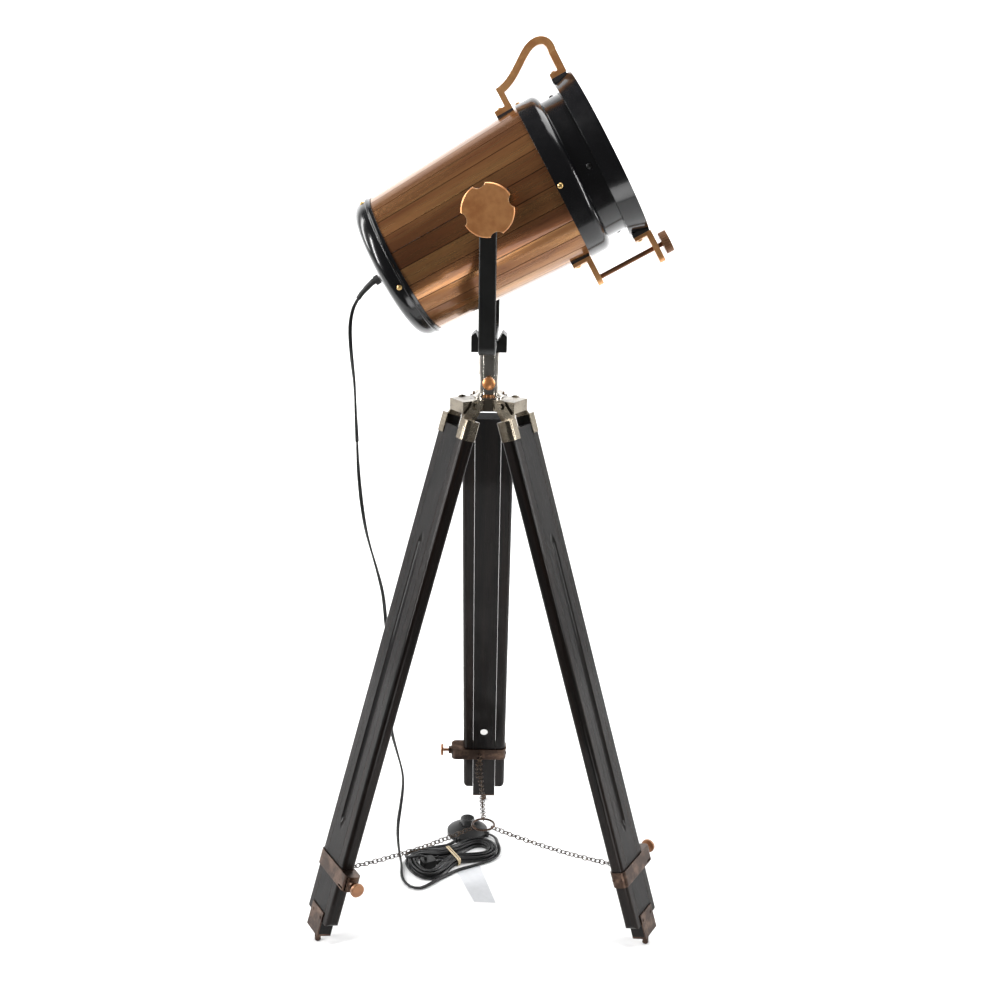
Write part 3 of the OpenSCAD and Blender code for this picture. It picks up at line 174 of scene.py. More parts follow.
def new_piece(name, corners, faces, finish, smooth=True):
    mesh = bpy.data.meshes.new(name)
    mesh.from_pydata([tuple(c) for c in corners], [], faces)
    mesh.polygons.foreach_set("use_smooth", [smooth] * len(mesh.polygons))
    mesh.materials.append(finish)
    mesh.update()
    piece = bpy.data.objects.new(name, mesh)
    bpy.context.collection.objects.link(piece)
    return piece


def lie_along(line, section, start_side, turn_len=None, widths=None, closed=False):
    """Corners and faces of a section carried along a line of points, turning once in turn_len."""
    count, size = len(line), len(section)
    side = Vector(start_side)
    corners, run, turn = [], 0.0, 0.0
    for i, point in enumerate(line):
        if closed:
            way = (line[(i + 1) % count] - line[i - 1]).normalized()
        else:
            way = (line[min(i + 1, count - 1)] - line[max(i - 1, 0)]).normalized()
        side = (side - side.dot(way) * way).normalized()
        if i:
            run += (point - line[i - 1]).length
        if turn_len:
            turn = tau * run / turn_len
        across = side * cos(turn) + way.cross(side) * sin(turn)
        over = way.cross(across)
        grow = widths[i] if widths else 1.0
        corners += [point + grow * (u * across + v * over) for u, v in section]
    faces = []
    for i in range(count if closed else count - 1):
        a, b = i * size, (i + 1) % count * size
        faces += [(a + k, a + (k + 1) % size, b + (k + 1) % size, b + k) for k in range(size)]
    if not closed:
        last = (count - 1) * size
        faces += [tuple(range(size))[::-1], tuple(range(last, last + size))]
    return corners, faces


def finer(line):
    """The line with a point added halfway along each step, on a smooth curve through them."""
    out = []
    for i in range(len(line) - 1):
        before, after = line[max(i - 1, 0)], line[min(i + 2, len(line) - 1)]
        out += [line[i], (9 * (line[i] + line[i + 1]) - before - after) / 16]
    return out + [line[-1]]


def line_len(line):
    return sum((b - a).length for a, b in zip(line, line[1:]))


# ---- The head's axis ----
mm = 0.001
head_turn, head_tilt = math.radians(-1.5), math.radians(29.2)
pivot_z, pivot_along, axis_drop = 936.9587, 130, 12.7
head_way = Vector((cos(head_tilt) * cos(head_turn), cos(head_tilt) * sin(head_turn), sin(head_tilt)))
head_down = Vector((sin(head_tilt) * cos(head_turn), sin(head_tilt) * sin(head_turn), -cos(head_tilt)))
head_side = Vector((-sin(head_turn), cos(head_turn), 0.0))


def on_head(along, down=0.0, side=0.0):
    """A point in the row frame, in millimetres, from its place along the barrel's axis and beside it."""
    middle = Vector((0, 0, pivot_z)) + (along - pivot_along) * head_way + axis_drop * head_down
    return middle + down * head_down + side * head_side


# ---- Cord ----
# Flat two-core flex with a black vinyl jacket: two round cores moulded side by side, with a groove
# between them. It leaves the back cap through the gland, hangs to the floor, runs to the foot switch
# and ends in a bundle and a plug. Like all flat flex it twists slowly along its length.
switch_at, switch_port_r = Vector((-24, 146, 4)), 34
lead_out = 4.6


def switch_port(turn):
    """Where a cord meets the foot switch on that side, and the way it leaves."""
    port_way = Vector((cos(turn), sin(turn), 0))
    return switch_at + switch_port_r * port_way, port_way


cord_finish, place = new_finish("cord_vinyl", Specular_IOR_Level=0.4)
specks = place.grain(900, 2)
smears = place.grain(35, 3)
place.goes_to(Base_Color=smears.blend((0.003, 0.003, 0.0035), (0.009, 0.009, 0.0095)),
              Roughness=smears.between(0.26, 0.5), Normal=specks.dent(0.03))

core_r, core_off = 1.42, 1.08
lobe = [math.radians(a) for a in (-128, -84, -42, 0, 42, 84, 128)]
flex_section = [(mm * (core_off + core_r * cos(a)), mm * core_r * sin(a)) for a in lobe]
flex_section += [(-u, -v) for u, v in flex_section]
gland_end = on_head(-39)
sleeve_points = 7
hanging = [
    (-157, 4, 829), (-168, 4, 811), (-173, 5, 786), (-172, 5, 752), (-169, 6, 716), (-168, 7, 680),
    (-167, 8, 640), (-166, 10, 600), (-163, 14, 556), (-157, 18, 512), (-146, 23, 466), (-138, 28, 426),
    (-135, 32, 386), (-133, 36, 344), (-133, 40, 300), (-132, 44, 256), (-129, 49, 212), (-121, 54, 174),
    (-115, 60, 138), (-118, 66, 98), (-123, 71, 62), (-124, 73, 34), (-122, 69, 14), (-119, 60, 4)]
on_floor = [
    (-117, 46), (-116, 30), (-112, 12), (-102, -3), (-87, -7), (-73, 4), (-61, 17), (-48, 28),
    (-34, 40), (-17, 49), (2, 59), (16, 69), (23, 83), (24, 99), (21, 115), (19, 126)]
port_in, port_in_way = switch_port(math.radians(-20))
free_line = [gland_end, gland_end - lead_out * head_way] + finer([Vector(p) for p in hanging])
free_line += [Vector((x, y, 2.7)) for x, y in on_floor] + [port_in + lead_out * port_in_way, port_in]
free_line = [mm * p for p in free_line]
split_at, reaches_base = 14, mm * Vector((-138, 28, 426))
upper_line, lower_line = finer(free_line[:split_at + 1]), finer(free_line[split_at:])
flex_turn, bundle_turn = 0.33, 0.21


def lay_cord(name, line, side, node, turn_len=flex_turn):
    corners, faces = lie_along(line, flex_section, side, turn_len)
    piece = new_piece(name, corners, faces, cord_finish)
    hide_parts(*node)
    line_len(line)
    return piece


upper_cord = lay_cord("cord_at_head", upper_line, (0, 1, 0), ["cord_upper"])
lower_cord = lay_cord("cord_to_switch", lower_line, (0, 1, 0), ["cord_lower"])
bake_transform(upper_cord)
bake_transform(lower_cord)

hank_at, hank_turn = Vector((-43.5, 71)), math.radians(28)
degree = 0.0175
hank_step, hank_loops, hank_rings, hank_start = 5.2, 6, 48, math.radians(150)
hank_lift_by, hank_low = 0.72, 1.84
loop_half_len, loop_width, loop_waist, loop_taper = 54, 40, 37, 0.35
waist_reach, waist_rise = 20, 1.6


def inner_loop(a):
    """The innermost loop, seen from above: a figure drawn in at the waist, with one end wider."""
    wide = 1 - loop_taper * cos(a)
    return Vector((loop_half_len * cos(a), (loop_width * sin(a) - loop_waist * sin(a) ** 3) * wide))


def hank_point(t):
    """The bundle's line, t loops from its start: in on the lower layer and out on the upper one."""
    a = hank_start + tau * t
    along = (inner_loop(a + degree) - inner_loop(a - degree)).normalized()
    out = hank_step * abs(t - hank_loops / 2)
    flat = inner_loop(a) + out * Vector((along.y, -along.x))
    rise = max(0.0, 1 - (flat.x / waist_reach) ** 2) ** 2
    climb = min(max((t - hank_loops / 2) * 2 + 0.5, 0), 1)
    turned = hank_at + Matrix.Rotation(hank_turn, 2) @ flat
    return Vector((turned.x, turned.y, hank_low + hank_step * climb + waist_rise * rise))


hank_line = [hank_point(i / hank_rings) for i in range(hank_loops * hank_rings + 1)]
hank_first = (hank_line[1] - hank_line[0]).normalized()
hank_last = (hank_line[-1] - hank_line[-2]).normalized()
port_out, port_out_way = switch_port(math.radians(240))
link_line = [port_out, port_out + lead_out * port_out_way, Vector((-53, 104, 3)), Vector((-66, 100, 3)),
             Vector((-80, 96, 3)), Vector((-92, 91, 3)), hank_line[0] - lead_out * hank_first]
plug_spot = hank_at + Matrix.Rotation(hank_turn, 2) @ Vector((-44.5, 0))
plug_entry = Vector((plug_spot.x, plug_spot.y, 12))
lead_line = [hank_line[-1] + lead_out * hank_last, Vector((-112, 67, 9)), Vector((-112, 59, 12)),
             Vector((-106, 52, 15)), Vector((-98, 49, 18)), Vector((-89, 49, 19)),
             plug_entry + Vector((0, 0, lead_out)), plug_entry]
raised = Vector((0, 0, hank_lift_by))
bundle_line = finer(link_line)[:-1] + [p + raised for p in hank_line] + finer(lead_line)
bundle_line = [mm * p for p in bundle_line]


# ---- Elastic tie ----
# A beige rubber band, stretched twice round the waist of the bundle. It is a plain band with a dull
# surface.
band_finish, place = new_finish("beige_rubber_band", Subsurface_Weight=0.15)
place.goes_to(Base_Color=place.grain(260, 4).blend((0.42, 0.30, 0.17), (0.62, 0.48, 0.31)),
              Roughness=place.grain(90).between(0.5, 0.75), Normal=place.grain(1500, 2).dent(0.08))
band_low, band_high, band_reach, band_corner = 0.6, 11.6, 21.2, 4.0
band_half_w, band_half_t = mm * 1.25, mm * 0.42


def band_point(turn, across):
    """A point on the band's round-cornered path across the bundle; across shifts it along the bundle."""
    wide, tall = band_reach - band_corner, (band_high - band_low) / 2 - band_corner
    x, z = cos(turn), sin(turn)
    flat = Vector((across, math.copysign(wide, x) * min(1, abs(x) * 3) + band_corner * x))
    spot = hank_at + Matrix.Rotation(hank_turn, 2) @ flat
    up = (band_low + band_high) / 2 + math.copysign(tall, z) * min(1, abs(z) * 3) + band_corner * z
    return mm * Vector((spot.x, spot.y, up))


band_steps = 48
for number, slope in enumerate((-1.1, 1.2)):
    band_line = [band_point(tau * i / band_steps, slope * sin(tau * i / band_steps) + 0.5 * slope)
                 for i in range(band_steps)]
    band_section = [(band_half_w * cos(a), band_half_t * sin(a)) for a in (tau * k / 8 for k in range(8))]
    corners, faces = lie_along(band_line, band_section, (cos(hank_turn), sin(hank_turn), 0), closed=True)
    band = new_piece(f"elastic_band_{number + 1}", corners, faces, band_finish)
    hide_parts("hank_tie")
    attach(band, "base")

bundle_cord = lay_cord("cord_bundle", bundle_line, (0, 0, 1), ["cord_link", "cord_hank", "plug_lead"],
                       bundle_turn)
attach(bundle_cord, "base")


# ---- Strain relief at the back cap ----
# A soft black sleeve, moulded with thin ribs, that tapers from the gland's nut on to the cord and
# keeps it from folding where it leaves the cap.
rubber_finish, place = new_finish("soft_rubber")
place.goes_to(Base_Color=place.grain(120).blend((0.008, 0.008, 0.008), (0.022, 0.021, 0.020)),
              Roughness=place.grain(60).between(0.5, 0.72), Normal=place.grain(2200, 2).dent(0.03))
relief_line = finer(upper_line[:sleeve_points])
sleeve_r, sleeve_taper, sleeve_len, rib_h = 3.9, 0.9, 0.024, 0.28
relief_run, relief_widths = 0.0, []
for i, point in enumerate(relief_line):
    relief_run += (point - relief_line[i - 1]).length if i else 0.0
    rib = rib_h if i % 3 == 0 else 0.0
    relief_widths.append((sleeve_r - sleeve_taper * min(1, relief_run / sleeve_len) + rib) * mm)
ring16 = [(cos(tau * k / 16), sin(tau * k / 16)) for k in range(16)]
corners, faces = lie_along(relief_line, ring16, (0, 1, 0), widths=relief_widths)
relief = new_piece("cord_relief_sleeve", corners, faces, rubber_finish)
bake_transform(relief)


# ---- Chains and their ring ----
# Three lengths of light bronzed-steel jewellers' chain, of bent round-wire links, each from a staple on
# a leg's clamp to one ring in the middle. They stop the feet from sliding apart. The rear one is hooked
# back on itself, so it hangs doubled below its clamp.
def dress(finish, *names):
    """Gives CAD nodes a finish."""
    for name in names:
        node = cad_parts[name]
        if not node.material_slots:
            node.data.materials.append(finish)
        for held in node.material_slots:
            held.material = finish


def bronze_finish(name, light, dark, low, high):
    material, place = new_finish(name, Metallic=1.0)
    patina = place.grain(55, 5, 0.65)
    marks = place.grain(420, 3, 0.6)
    worn = patina.step(0.42, 0.66)
    place.goes_to(Base_Color=worn.blend(dark, light), Roughness=marks.between(low, high),
                  Normal=marks.dent(0.05, rounded(place, 0.5)))
    return material


bronze = bronze_finish("antique_bronze", (0.125, 0.080, 0.058), (0.048, 0.031, 0.024), 0.24, 0.5)
chain_bronze = bronze_finish("dark_bronze_wire", (0.10, 0.072, 0.05), (0.03, 0.022, 0.017), 0.3, 0.5)
leg_lean, hinge_r, hinge_z, leg_offset = math.radians(17.28), 28.0, 695.9587, 6.0
leg_turns = {"rear": math.radians(90), "left": math.radians(210), "right": math.radians(330)}
leg_frames = {side: Matrix.Rotation(turn, 4, "Z") @ Matrix.Translation((hinge_r, 0, hinge_z))
              @ Matrix.Rotation(-leg_lean, 4, "Y") for side, turn in leg_turns.items()}


link_count, link_wire, link_slack, chain_sag = 31, 1.4, 0.3, 5.0
link_long, link_narrow, link_sway = 1.04, 0.82, 14
doubled_part, doubled_links, doubled_bow = 0.4, 12, 5.5
clamp_mid, clamp_wall, clamp_in_x = 624.85, 1.5, 18 / 2 + 0.2
staple_side, staple_r, staple_wire, staple_sink = 6.0, 3.2, 1.6, 0.4
ring_d, ring_wire, ring_h = 33, 2.8, 99
staple_x = leg_offset - clamp_in_x - clamp_wall + staple_sink - staple_r
ring_wire_r = (ring_d - ring_wire) / 2
staple_r_out = hinge_r + staple_x * cos(leg_lean) + clamp_mid * sin(leg_lean)
staple_z = hinge_z + staple_x * sin(leg_lean) - clamp_mid * cos(leg_lean)
link_pitch = Vector((staple_r_out - ring_wire_r, staple_side, staple_z - ring_h)).length / link_count
link_r = (link_pitch + link_slack + link_wire) / 2
chain_from = Vector((ring_wire_r + link_r - (ring_wire + link_wire) / 2 - link_slack / 2, 0, ring_h))
chain_end_r = staple_r_out - link_r + (staple_wire + link_wire) / 2 + link_slack / 2
chain_to = Vector((chain_end_r, staple_side, staple_z))
chain_span = chain_to - chain_from
bpy.ops.object.select_all(action="DESELECT")
bpy.ops.mesh.primitive_torus_add(major_segments=16, minor_segments=7, major_radius=link_r * mm,
                                 minor_radius=link_wire / 2 * mm)
link = bpy.context.object
bpy.ops.object.mode_set(mode="EDIT")
bpy.ops.mesh.select_all(action="SELECT")
bpy.ops.transform.resize(value=(link_long, link_narrow, 1.0), center_override=(0, 0, 0))
bpy.ops.object.mode_set(mode="OBJECT")
link_corners = [v.co.copy() for v in link.data.vertices]
link_faces = [tuple(p.vertices) for p in link.data.polygons]
bpy.data.objects.remove(link)
random.seed(7)
for side, turn in leg_turns.items():
    corners, faces = [], []
    places = [(k / (link_count - 1), 0.0) for k in range(link_count)]
    if side == "rear":
        back = [k / doubled_links for k in range(1, doubled_links)]
        places += [(1 - doubled_part * u, doubled_bow * sin(math.pi * u)) for u in back]
    for k, (t, bow) in enumerate(places):
        slope = (chain_span.z - 4 * chain_sag * (1 - 2 * t)) / chain_span.xy.length
        spot = chain_from + t * chain_span + Vector((0, bow, -4 * chain_sag * t * (1 - t)))
        lie = Matrix.Rotation(turn, 4, "Z") @ Matrix.Translation(mm * spot)
        lie = lie @ Matrix.Rotation(math.atan2(chain_span.y, chain_span.x), 4, "Z")
        lie = lie @ Matrix.Rotation(-math.atan(slope), 4, "Y")
        roll_by = math.radians((90 if k % 2 == 0 else 0) + random.uniform(-link_sway, link_sway))
        lie = lie @ Matrix.Rotation(roll_by, 4, "X")
        start = len(corners)
        corners += [lie @ c for c in link_corners]
        faces += [tuple(start + i for i in face) for face in link_faces]
    chain = new_piece(f"link_chain_{side}", corners, faces, chain_bronze)
    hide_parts(f"chain_{side}")
    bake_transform(chain)
dress(bronze, "chain_ring", *[f"{part}_{side}" for part in ("clamp", "foot") for side in leg_turns])


# ---- Legs ----
# Each leg is a pair of turned-edge hardwood rails with a grooved slat that slides between them. All are
# stained nearly black and rubbed back a little along the edges, under a thin satin varnish.
bare_wood, varnish = (0.040, 0.022, 0.014), 0.16
rail_dark, rail_light, rail_sheen = (0.0010, 0.0008, 0.0007), (0.0085, 0.0042, 0.0028), 0.30
slat_dark, slat_light, slat_sheen = (0.0012, 0.0011, 0.0011), (0.007, 0.0048, 0.0040), 0.34


def leg_wood(name, side, dark, light, sheen):
    material, place = new_finish(name, Specular_IOR_Level=0.10, Coat_Roughness=0.08)
    back = leg_frames[side].to_3x3().inverted().to_euler()
    along = place.node("ShaderNodeMapping", {"vector_type": "VECTOR"}, {"Vector": place, "Rotation": back})
    fibres = along.stretched(1, 1, 0.03).grain(420, 4, 0.7)
    figure = along.stretched(1, 1, 0.06).grain(70, 4, 0.6)
    pores = along.stretched(1, 1, 0.05).grain(1100, 2, 0.5).step(0.60, 0.72)
    stain = (figure * 0.6 + fibres * 0.4).step(0.36, 0.66)
    eased = rounded(place, 0.8)
    rubbed = edge_wear(place, eased, 0.09) * place.grain(60, 4).step(0.34, 0.6)
    colour = rubbed.blend(stain.blend(dark, light), bare_wood)
    place.goes_to(Base_Color=colour, Roughness=(fibres * 0.5 + pores * 0.3).between(sheen, sheen + 0.3),
                  Coat_Weight=(1 - pores) * varnish,
                  Normal=(fibres * 0.7 - pores).dent(0.12, eased))
    return material


for side in leg_turns:
    dress(leg_wood(f"rail_wood_{side}", side, rail_dark, rail_light, rail_sheen), f"rails_{side}")
    dress(leg_wood(f"slat_wood_{side}", side, slat_dark, slat_light, slat_sheen), f"slat_{side}")


# ---- Round sticker and tag ----
# A small round sticker of plain white paper, pressed on the rear slat's inner face just above the clamp,
# and a blank tag of grey-white card that lies under the bundle of cord. The tag is painted a darker grey
# than the card, as painted shade on it.
paper_finish, place = new_finish("plain_paper", Roughness=0.8)
place.goes_to(Base_Color=place.grain(300, 4).blend((0.72, 0.71, 0.69), (0.86, 0.85, 0.83)),
              Normal=place.grain(2500, 3).dent(0.02))
bpy.ops.object.select_all(action="DESELECT")
sticker_r, sticker_t = 5.6 * mm, 0.15 * mm
bpy.ops.mesh.primitive_circle_add(vertices=48, radius=sticker_r, fill_type="NGON")
spot = bpy.context.object
spot.name = "round_sticker"
bpy.ops.object.mode_set(mode="EDIT")
bpy.ops.mesh.select_all(action="SELECT")
bpy.ops.mesh.extrude_region_move(TRANSFORM_OT_translate={"value": (0, 0, sticker_t)})
bpy.ops.mesh.inset(thickness=0.3 * mm, depth=0.08 * mm)
bpy.ops.mesh.inset(thickness=1.5 * mm, depth=0.03 * mm)
bpy.ops.mesh.select_all(action="SELECT")
bpy.ops.mesh.normals_make_consistent(inside=False)
bpy.ops.object.mode_set(mode="OBJECT")
slat_half_t, sticker_down = 9.0, 578.5
inner_face = leg_frames["rear"] @ Matrix.Translation((leg_offset - slat_half_t, 0.6, -sticker_down))
inner_face.translation *= mm
spot.data.transform(inner_face @ Matrix.Rotation(math.radians(-90), 4, "Y"))
spot.data.materials.append(paper_finish)
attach(spot, "slat_rear")
card_painted_shade_finish, place = new_finish("tag_card_painted_shade", Roughness=0.7)
# The tag's grey is the card's own grey-white darkened further, which is painted shade.
place.goes_to(Base_Color=place.grain(120, 4).blend((0.50, 0.51, 0.53), (0.62, 0.63, 0.65)),
              Normal=place.grain(1800, 3).dent(0.02))
dress(card_painted_shade_finish, "tag")


# ---- Hub, ferrules, stem ----
# Cast and turned brass, plated in a dark antique nickel and polished, so that it shows warm grey with
# brown in the hollows and bright lines along its edges.
def nickel_finish(name, across, spread, light, dark):
    material, place = new_finish(name, Metallic=1.0)
    brushed = place.stretched(*across).grain(260, 3, 0.6)
    tarnish = place.grain(38, 5, 0.6).step(0.40, 0.68)
    place.goes_to(Base_Color=tarnish.blend(light, dark),
                  Roughness=(brushed * 0.6 + tarnish * 0.4).between(*spread),
                  Normal=brushed.dent(0.03, rounded(place, 0.5)))
    return material


nickel = nickel_finish("antique_nickel", (1, 1, 1), (0.16, 0.42), (0.23, 0.20, 0.155), (0.085, 0.068, 0.05))
polished_nickel = nickel_finish("polished_nickel_tube", (0.15, 0.15, 3), (0.08, 0.22),
                                (0.56, 0.53, 0.48), (0.30, 0.27, 0.23))
dress(nickel, "hub", "hinge_bolts", *[f"ferrules_{side}" for side in leg_turns])
dress(polished_nickel, "socket_tube", "pan_stem")


# ---- Copper-coloured hardware ----
# Knobs, handle, brackets and screws are brass castings under a copper-coloured lacquer, satin on the
# faces and rubbed paler along the rims.
def copper_finish(name, deep, warm, pale, low=0.26, high=0.42):
    material, place = new_finish(name, Metallic=0.65, Coat_Weight=0.25, Coat_Roughness=0.3)
    cloud = place.grain(45, 4, 0.6)
    brush = place.grain(800, 2, 0.5)
    eased = rounded(place, 0.9)
    rim = edge_wear(place, eased, 0.08) * 0.75
    place.goes_to(Base_Color=rim.blend(cloud.step(0.35, 0.65).blend(deep, warm), pale),
                  Roughness=(cloud * 0.5 + brush * 0.5).between(low, high), Normal=brush.dent(0.02, eased))
    return material


knob_copper = copper_finish("knob_copper", (0.56, 0.22, 0.075), (0.74, 0.34, 0.13), (0.88, 0.60, 0.36))
strap_copper = copper_finish("strap_copper", (0.62, 0.27, 0.10), (0.82, 0.42, 0.17), (0.90, 0.64, 0.38))
dark_copper = copper_finish("aged_copper", (0.17, 0.070, 0.032), (0.27, 0.122, 0.056), (0.50, 0.28, 0.14),
                            high=0.44)
dress(knob_copper, "tilt_knob_near", "tilt_knob_far", "lock_screw")
dress(strap_copper, "handle", "rod_brackets")
dress(dark_copper, "rod_knob", *[f"clamp_screw_{side}" for side in leg_turns])


# ---- Yoke and its saddle ----
# Flat steel bar with chamfered edges, bent to a U and bolted between two cheeks, all under satin black
# paint.
satin_black, place = new_finish("satin_black_paint", Specular_IOR_Level=0.4, Coat_Weight=0.1,
                                Coat_Roughness=0.25)
orange_peel = place.grain(700, 2)
dust = place.grain(30, 4, 0.6)
place.goes_to(Base_Color=dust.blend((0.003, 0.003, 0.003), (0.009, 0.009, 0.0085)),
              Roughness=dust.between(0.28, 0.5), Normal=orange_peel.dent(0.03, rounded(place, 0.7)))
dress(satin_black, "yoke", "saddle", "pivot_plates", "pivot_bosses", "neck_screws")


# ---- Back cap, collar, neck and front ring ----
# Spun and rolled steel sheet under gloss black lacquer, with a rolled bead round the cap. The inside of
# the neck and ring is the same black.
gloss_black, place = new_finish("gloss_black_lacquer", Specular_IOR_Level=0.35, Coat_Weight=0.25,
                                Coat_Roughness=0.05)
ripple = place.grain(28, 3)
haze = place.grain(70, 5, 0.7)
fine_ripple = place.grain(900, 2).dent(0.01, rounded(place, 0.6))
place.goes_to(Base_Color=haze.blend((0.002, 0.002, 0.0025), (0.005, 0.005, 0.006)),
              Roughness=haze.between(0.12, 0.30), Normal=ripple.dent(0.10, fine_ripple))
dress(gloss_black, "back_cap", "collar", "neck", "front_ring")


# ---- Staved barrel ----
# Narrow hardwood staves, glued edge to edge and turned to a cone. Each was cut from a different board,
# and all have a bronze-brown stain under thick gloss lacquer.
barrel_finish, place = new_finish("lacquered_staves", Coat_Roughness=0.04, Specular_IOR_Level=0.2)
head_frame = Matrix.Rotation(head_turn, 4, "Z") @ Matrix.Rotation(-head_tilt, 4, "Y")
barrel_start = on_head(0) * mm
to_barrel = head_frame.to_3x3().inverted()
barrel = place.node("ShaderNodeMapping", {"vector_type": "POINT"},
                    {"Vector": place, "Rotation": to_barrel.to_euler(),
                     "Location": -(to_barrel @ barrel_start)})
split = barrel.tree.nodes.new("ShaderNodeSeparateXYZ")
barrel.tree.links.new(barrel.socket, split.inputs[0])
along, beside, above = (Shade(barrel.tree, out) for out in split.outputs)
stave_count = 26
stave_angle = beside.sum("ARCTAN2", beside, above) / tau + 1
stave_at = stave_angle * stave_count + 0.5
stave_number = stave_at.sum("FLOOR", stave_at)
in_stave = stave_at.sum("FRACT", stave_at)
by_number = {"noise_dimensions": "1D"}
tone = stave_number.node("ShaderNodeTexWhiteNoise", by_number, {"W": stave_number})
tone_two = stave_number.node("ShaderNodeTexWhiteNoise", by_number, {"W": stave_number + 40.5})
own_board = tone.node("ShaderNodeCombineXYZ", {}, {"X": tone * 3, "Y": tone_two, "Z": tone})
shifted = barrel.node("ShaderNodeVectorMath", {"operation": "ADD"}, {0: barrel, 1: own_board})
streaks = shifted.stretched(0.05, 1, 1).grain(120, 5, 0.62)
bands = shifted.stretched(0.10, 1, 1).grain(34, 3, 0.5)
fine = shifted.stretched(0.02, 1, 1).grain(900, 3, 0.6)
mixture = tone * 0.12 + bands * 0.48 + streaks * 0.44
colour = mixture.node("ShaderNodeValToRGB", {"stops": [
    (0.30, (0.095, 0.032, 0.014)), (0.44, (0.19, 0.076, 0.030)), (0.55, (0.28, 0.128, 0.049)),
    (0.68, (0.41, 0.210, 0.080)), (0.85, (0.56, 0.325, 0.130))]}, {"Fac": mixture})
colour = (fine.step(0.52, 0.75) * 0.45).blend(colour, (0.045, 0.018, 0.010))
from_middle = in_stave - 0.5
joint = from_middle.sum("ABSOLUTE", from_middle).step(0.470, 0.497)
colour = (joint * 0.8).blend(colour, (0.010, 0.006, 0.005))
place.goes_to(Base_Color=colour, Roughness=(fine * 0.5 + streaks * 0.5).between(0.14, 0.32),
              Coat_Weight=(1 - joint * 0.7) * 0.3, Metallic=streaks.step(0.3, 0.75).between(0.55, 0.85),
              Normal=(fine * 0.4 - joint).dent(0.10, place.grain(40, 2).dent(0.12)))
dress(barrel_finish, "shell")


# ---- Screws, lamp holder, bulb and lens ----
# Slotted brass screws; a glazed holder with a plain opal bulb; and a clear pressed-glass lens, held by
# the neck's end inside the ring.
brass, place = new_finish("aged_brass", Metallic=1.0)
place.goes_to(Base_Color=place.grain(300, 3).blend((0.52, 0.33, 0.12), (0.74, 0.52, 0.24)),
              Roughness=place.grain(700, 2).between(0.2, 0.42), Normal=rounded(place, 0.3))
dress(brass, "case_screws", "bulb_cap")
glaze, place = new_finish("white_glaze", Coat_Weight=0.6, Coat_Roughness=0.05)
place.goes_to(Base_Color=place.grain(60, 3).blend((0.74, 0.72, 0.67), (0.82, 0.80, 0.76)),
              Roughness=place.grain(90).between(0.15, 0.3),
              Normal=place.grain(50, 2).dent(0.1, rounded(place, 0.6)))
dress(glaze, "lamp_socket")
opal, place = new_finish("opal_glass", Subsurface_Weight=0.3, Coat_Weight=0.5, Coat_Roughness=0.04)
place.goes_to(Base_Color=place.grain(40, 3).blend((0.86, 0.85, 0.81), (0.92, 0.91, 0.88)),
              Roughness=place.grain(80).between(0.1, 0.2))
dress(opal, "bulb")
lens_glass, place = new_finish("clear_glass", Transmission_Weight=1.0, IOR=1.47,
                               Base_Color=(0.96, 0.985, 0.98, 1))
place.goes_to(Roughness=place.grain(50, 4).between(0.01, 0.05), Normal=place.grain(60, 2).dent(0.02))
dress(lens_glass, "lens")
dress(rubber_finish, "foot_pads", "gland")


# ---- Foot switch and plug ----
# Moulded black plastic with a fine spark-eroded texture, worn shinier on the button.
plastic, place = new_finish("moulded_black_plastic", Specular_IOR_Level=0.25)
place.goes_to(Base_Color=place.grain(80, 3).blend((0.005, 0.005, 0.005), (0.012, 0.012, 0.012)),
              Roughness=place.grain(40, 3).between(0.34, 0.52),
              Normal=place.grain(1900, 2).dent(0.05, rounded(place, 0.6)))
button_plastic, place = new_finish("polished_black_plastic")
place.goes_to(Base_Color=place.grain(60, 3).blend((0.010, 0.010, 0.010), (0.022, 0.022, 0.022)),
              Roughness=place.grain(150, 3).between(0.16, 0.32), Normal=rounded(place, 0.8))
dress(plastic, "foot_switch", "plug")
dress(button_plastic, "switch_button")


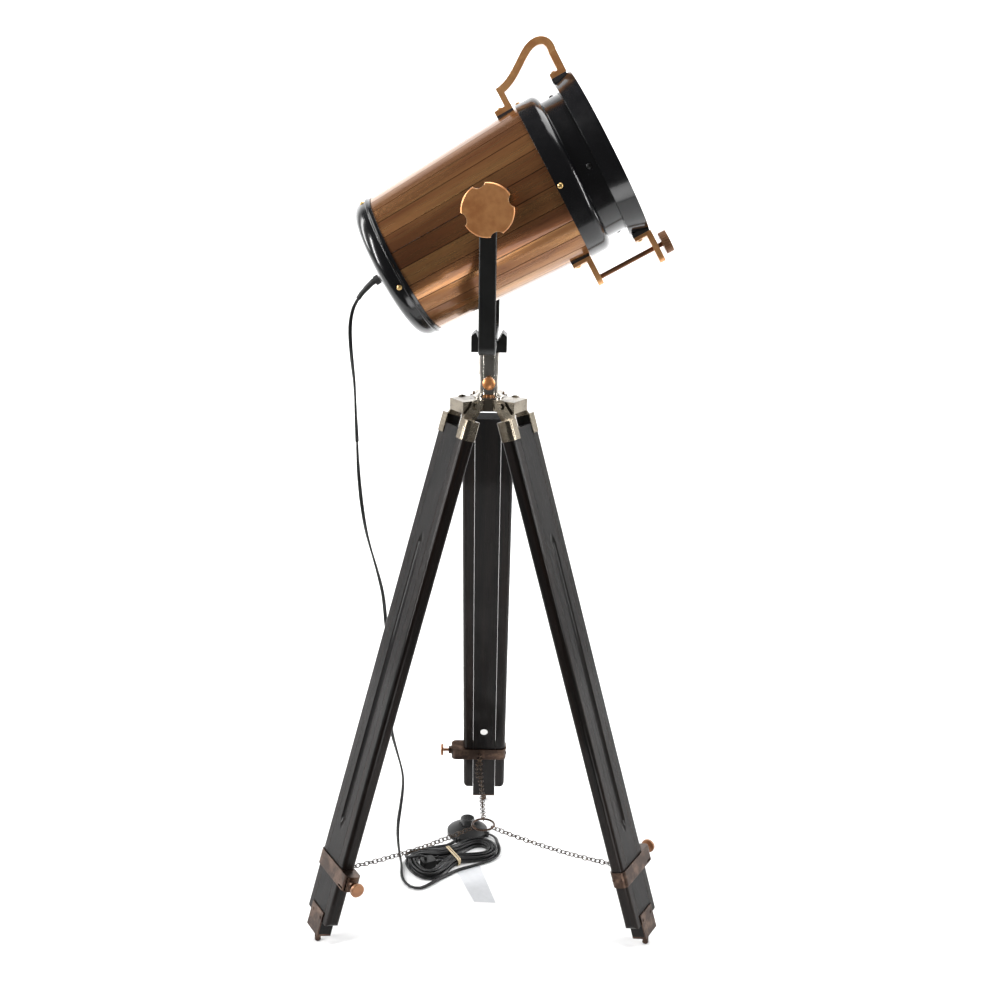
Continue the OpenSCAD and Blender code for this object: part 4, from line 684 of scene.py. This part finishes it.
# ---- Studio ----
# A pale sweep of floor and wall. It ends just in front of the lamp, so that the faces towards the camera
# mirror a dark room. Two strips stand beside the camera, a small box lies low in front, a wide one hangs
# overhead and two light the wall.
sweep_finish, place = new_finish("pale_sweep", Roughness=0.9, Specular_IOR_Level=0.1)
place.goes_to(Base_Color=place.grain(2, 2).blend((0.86, 0.86, 0.86), (0.88, 0.88, 0.88)))
front_y, bend_y, bend_r, wall_h, half_w = -0.42, 1.6, 1.4, 4.5, 6
bend = [math.radians(d) for d in range(6, 91, 6)]
profile = [(front_y, 0.0), (bend_y, 0.0)]
profile += [(bend_y + bend_r * sin(a), bend_r - bend_r * cos(a)) for a in bend]
profile += [(bend_y + bend_r, wall_h)]
corners = [Vector((x, y, z)) for y, z in profile for x in (-half_w, half_w)]
faces = [(2 * i, 2 * i + 1, 2 * i + 3, 2 * i + 2) for i in range(len(profile) - 1)]
sweep = new_piece("studio_sweep", corners, faces, sweep_finish)


def soft_box(name, at, aim, width, height, power):
    light = bpy.data.lights.new(name, "AREA")
    light.shape = "RECTANGLE"
    light.size, light.size_y, light.energy = width, height, power
    box = bpy.data.objects.new(name, light)
    bpy.context.collection.objects.link(box)
    box.location = at
    box.rotation_euler = (Vector(aim) - Vector(at)).to_track_quat("-Z", "Y").to_euler()


soft_box("box_left", (-1.7, -0.8, 1.25), (0, 0, 0.8), 0.22, 1.5, 40)
soft_box("box_right", (1.8, -0.7, 1.2), (0, 0, 0.8), 0.16, 1.4, 22)
soft_box("box_low", (0.22, -0.64, 0.08), (-0.08, 0, 0.87), 0.34, 0.3, 1.6)
soft_box("box_top", (0.2, 0.1, 2.7), (0, 0.1, 0.4), 1.8, 1.3, 46)
soft_box("box_wall_left", (-2.6, 0.9, 1.8), (-0.6, 2.9, 1.2), 1.2, 2.4, 130)
soft_box("box_wall_right", (2.6, 0.9, 1.8), (0.6, 2.9, 1.2), 1.2, 2.4, 130)
world = bpy.data.worlds.new("studio_air")
bpy.context.scene.world = world
world.use_nodes = True
air = world.node_tree.nodes["Background"]
air.inputs["Color"].default_value = (1.0, 1.0, 1.0, 1)
air.inputs["Strength"].default_value = 0.12
bpy.context.scene.view_settings.view_transform = "Standard"
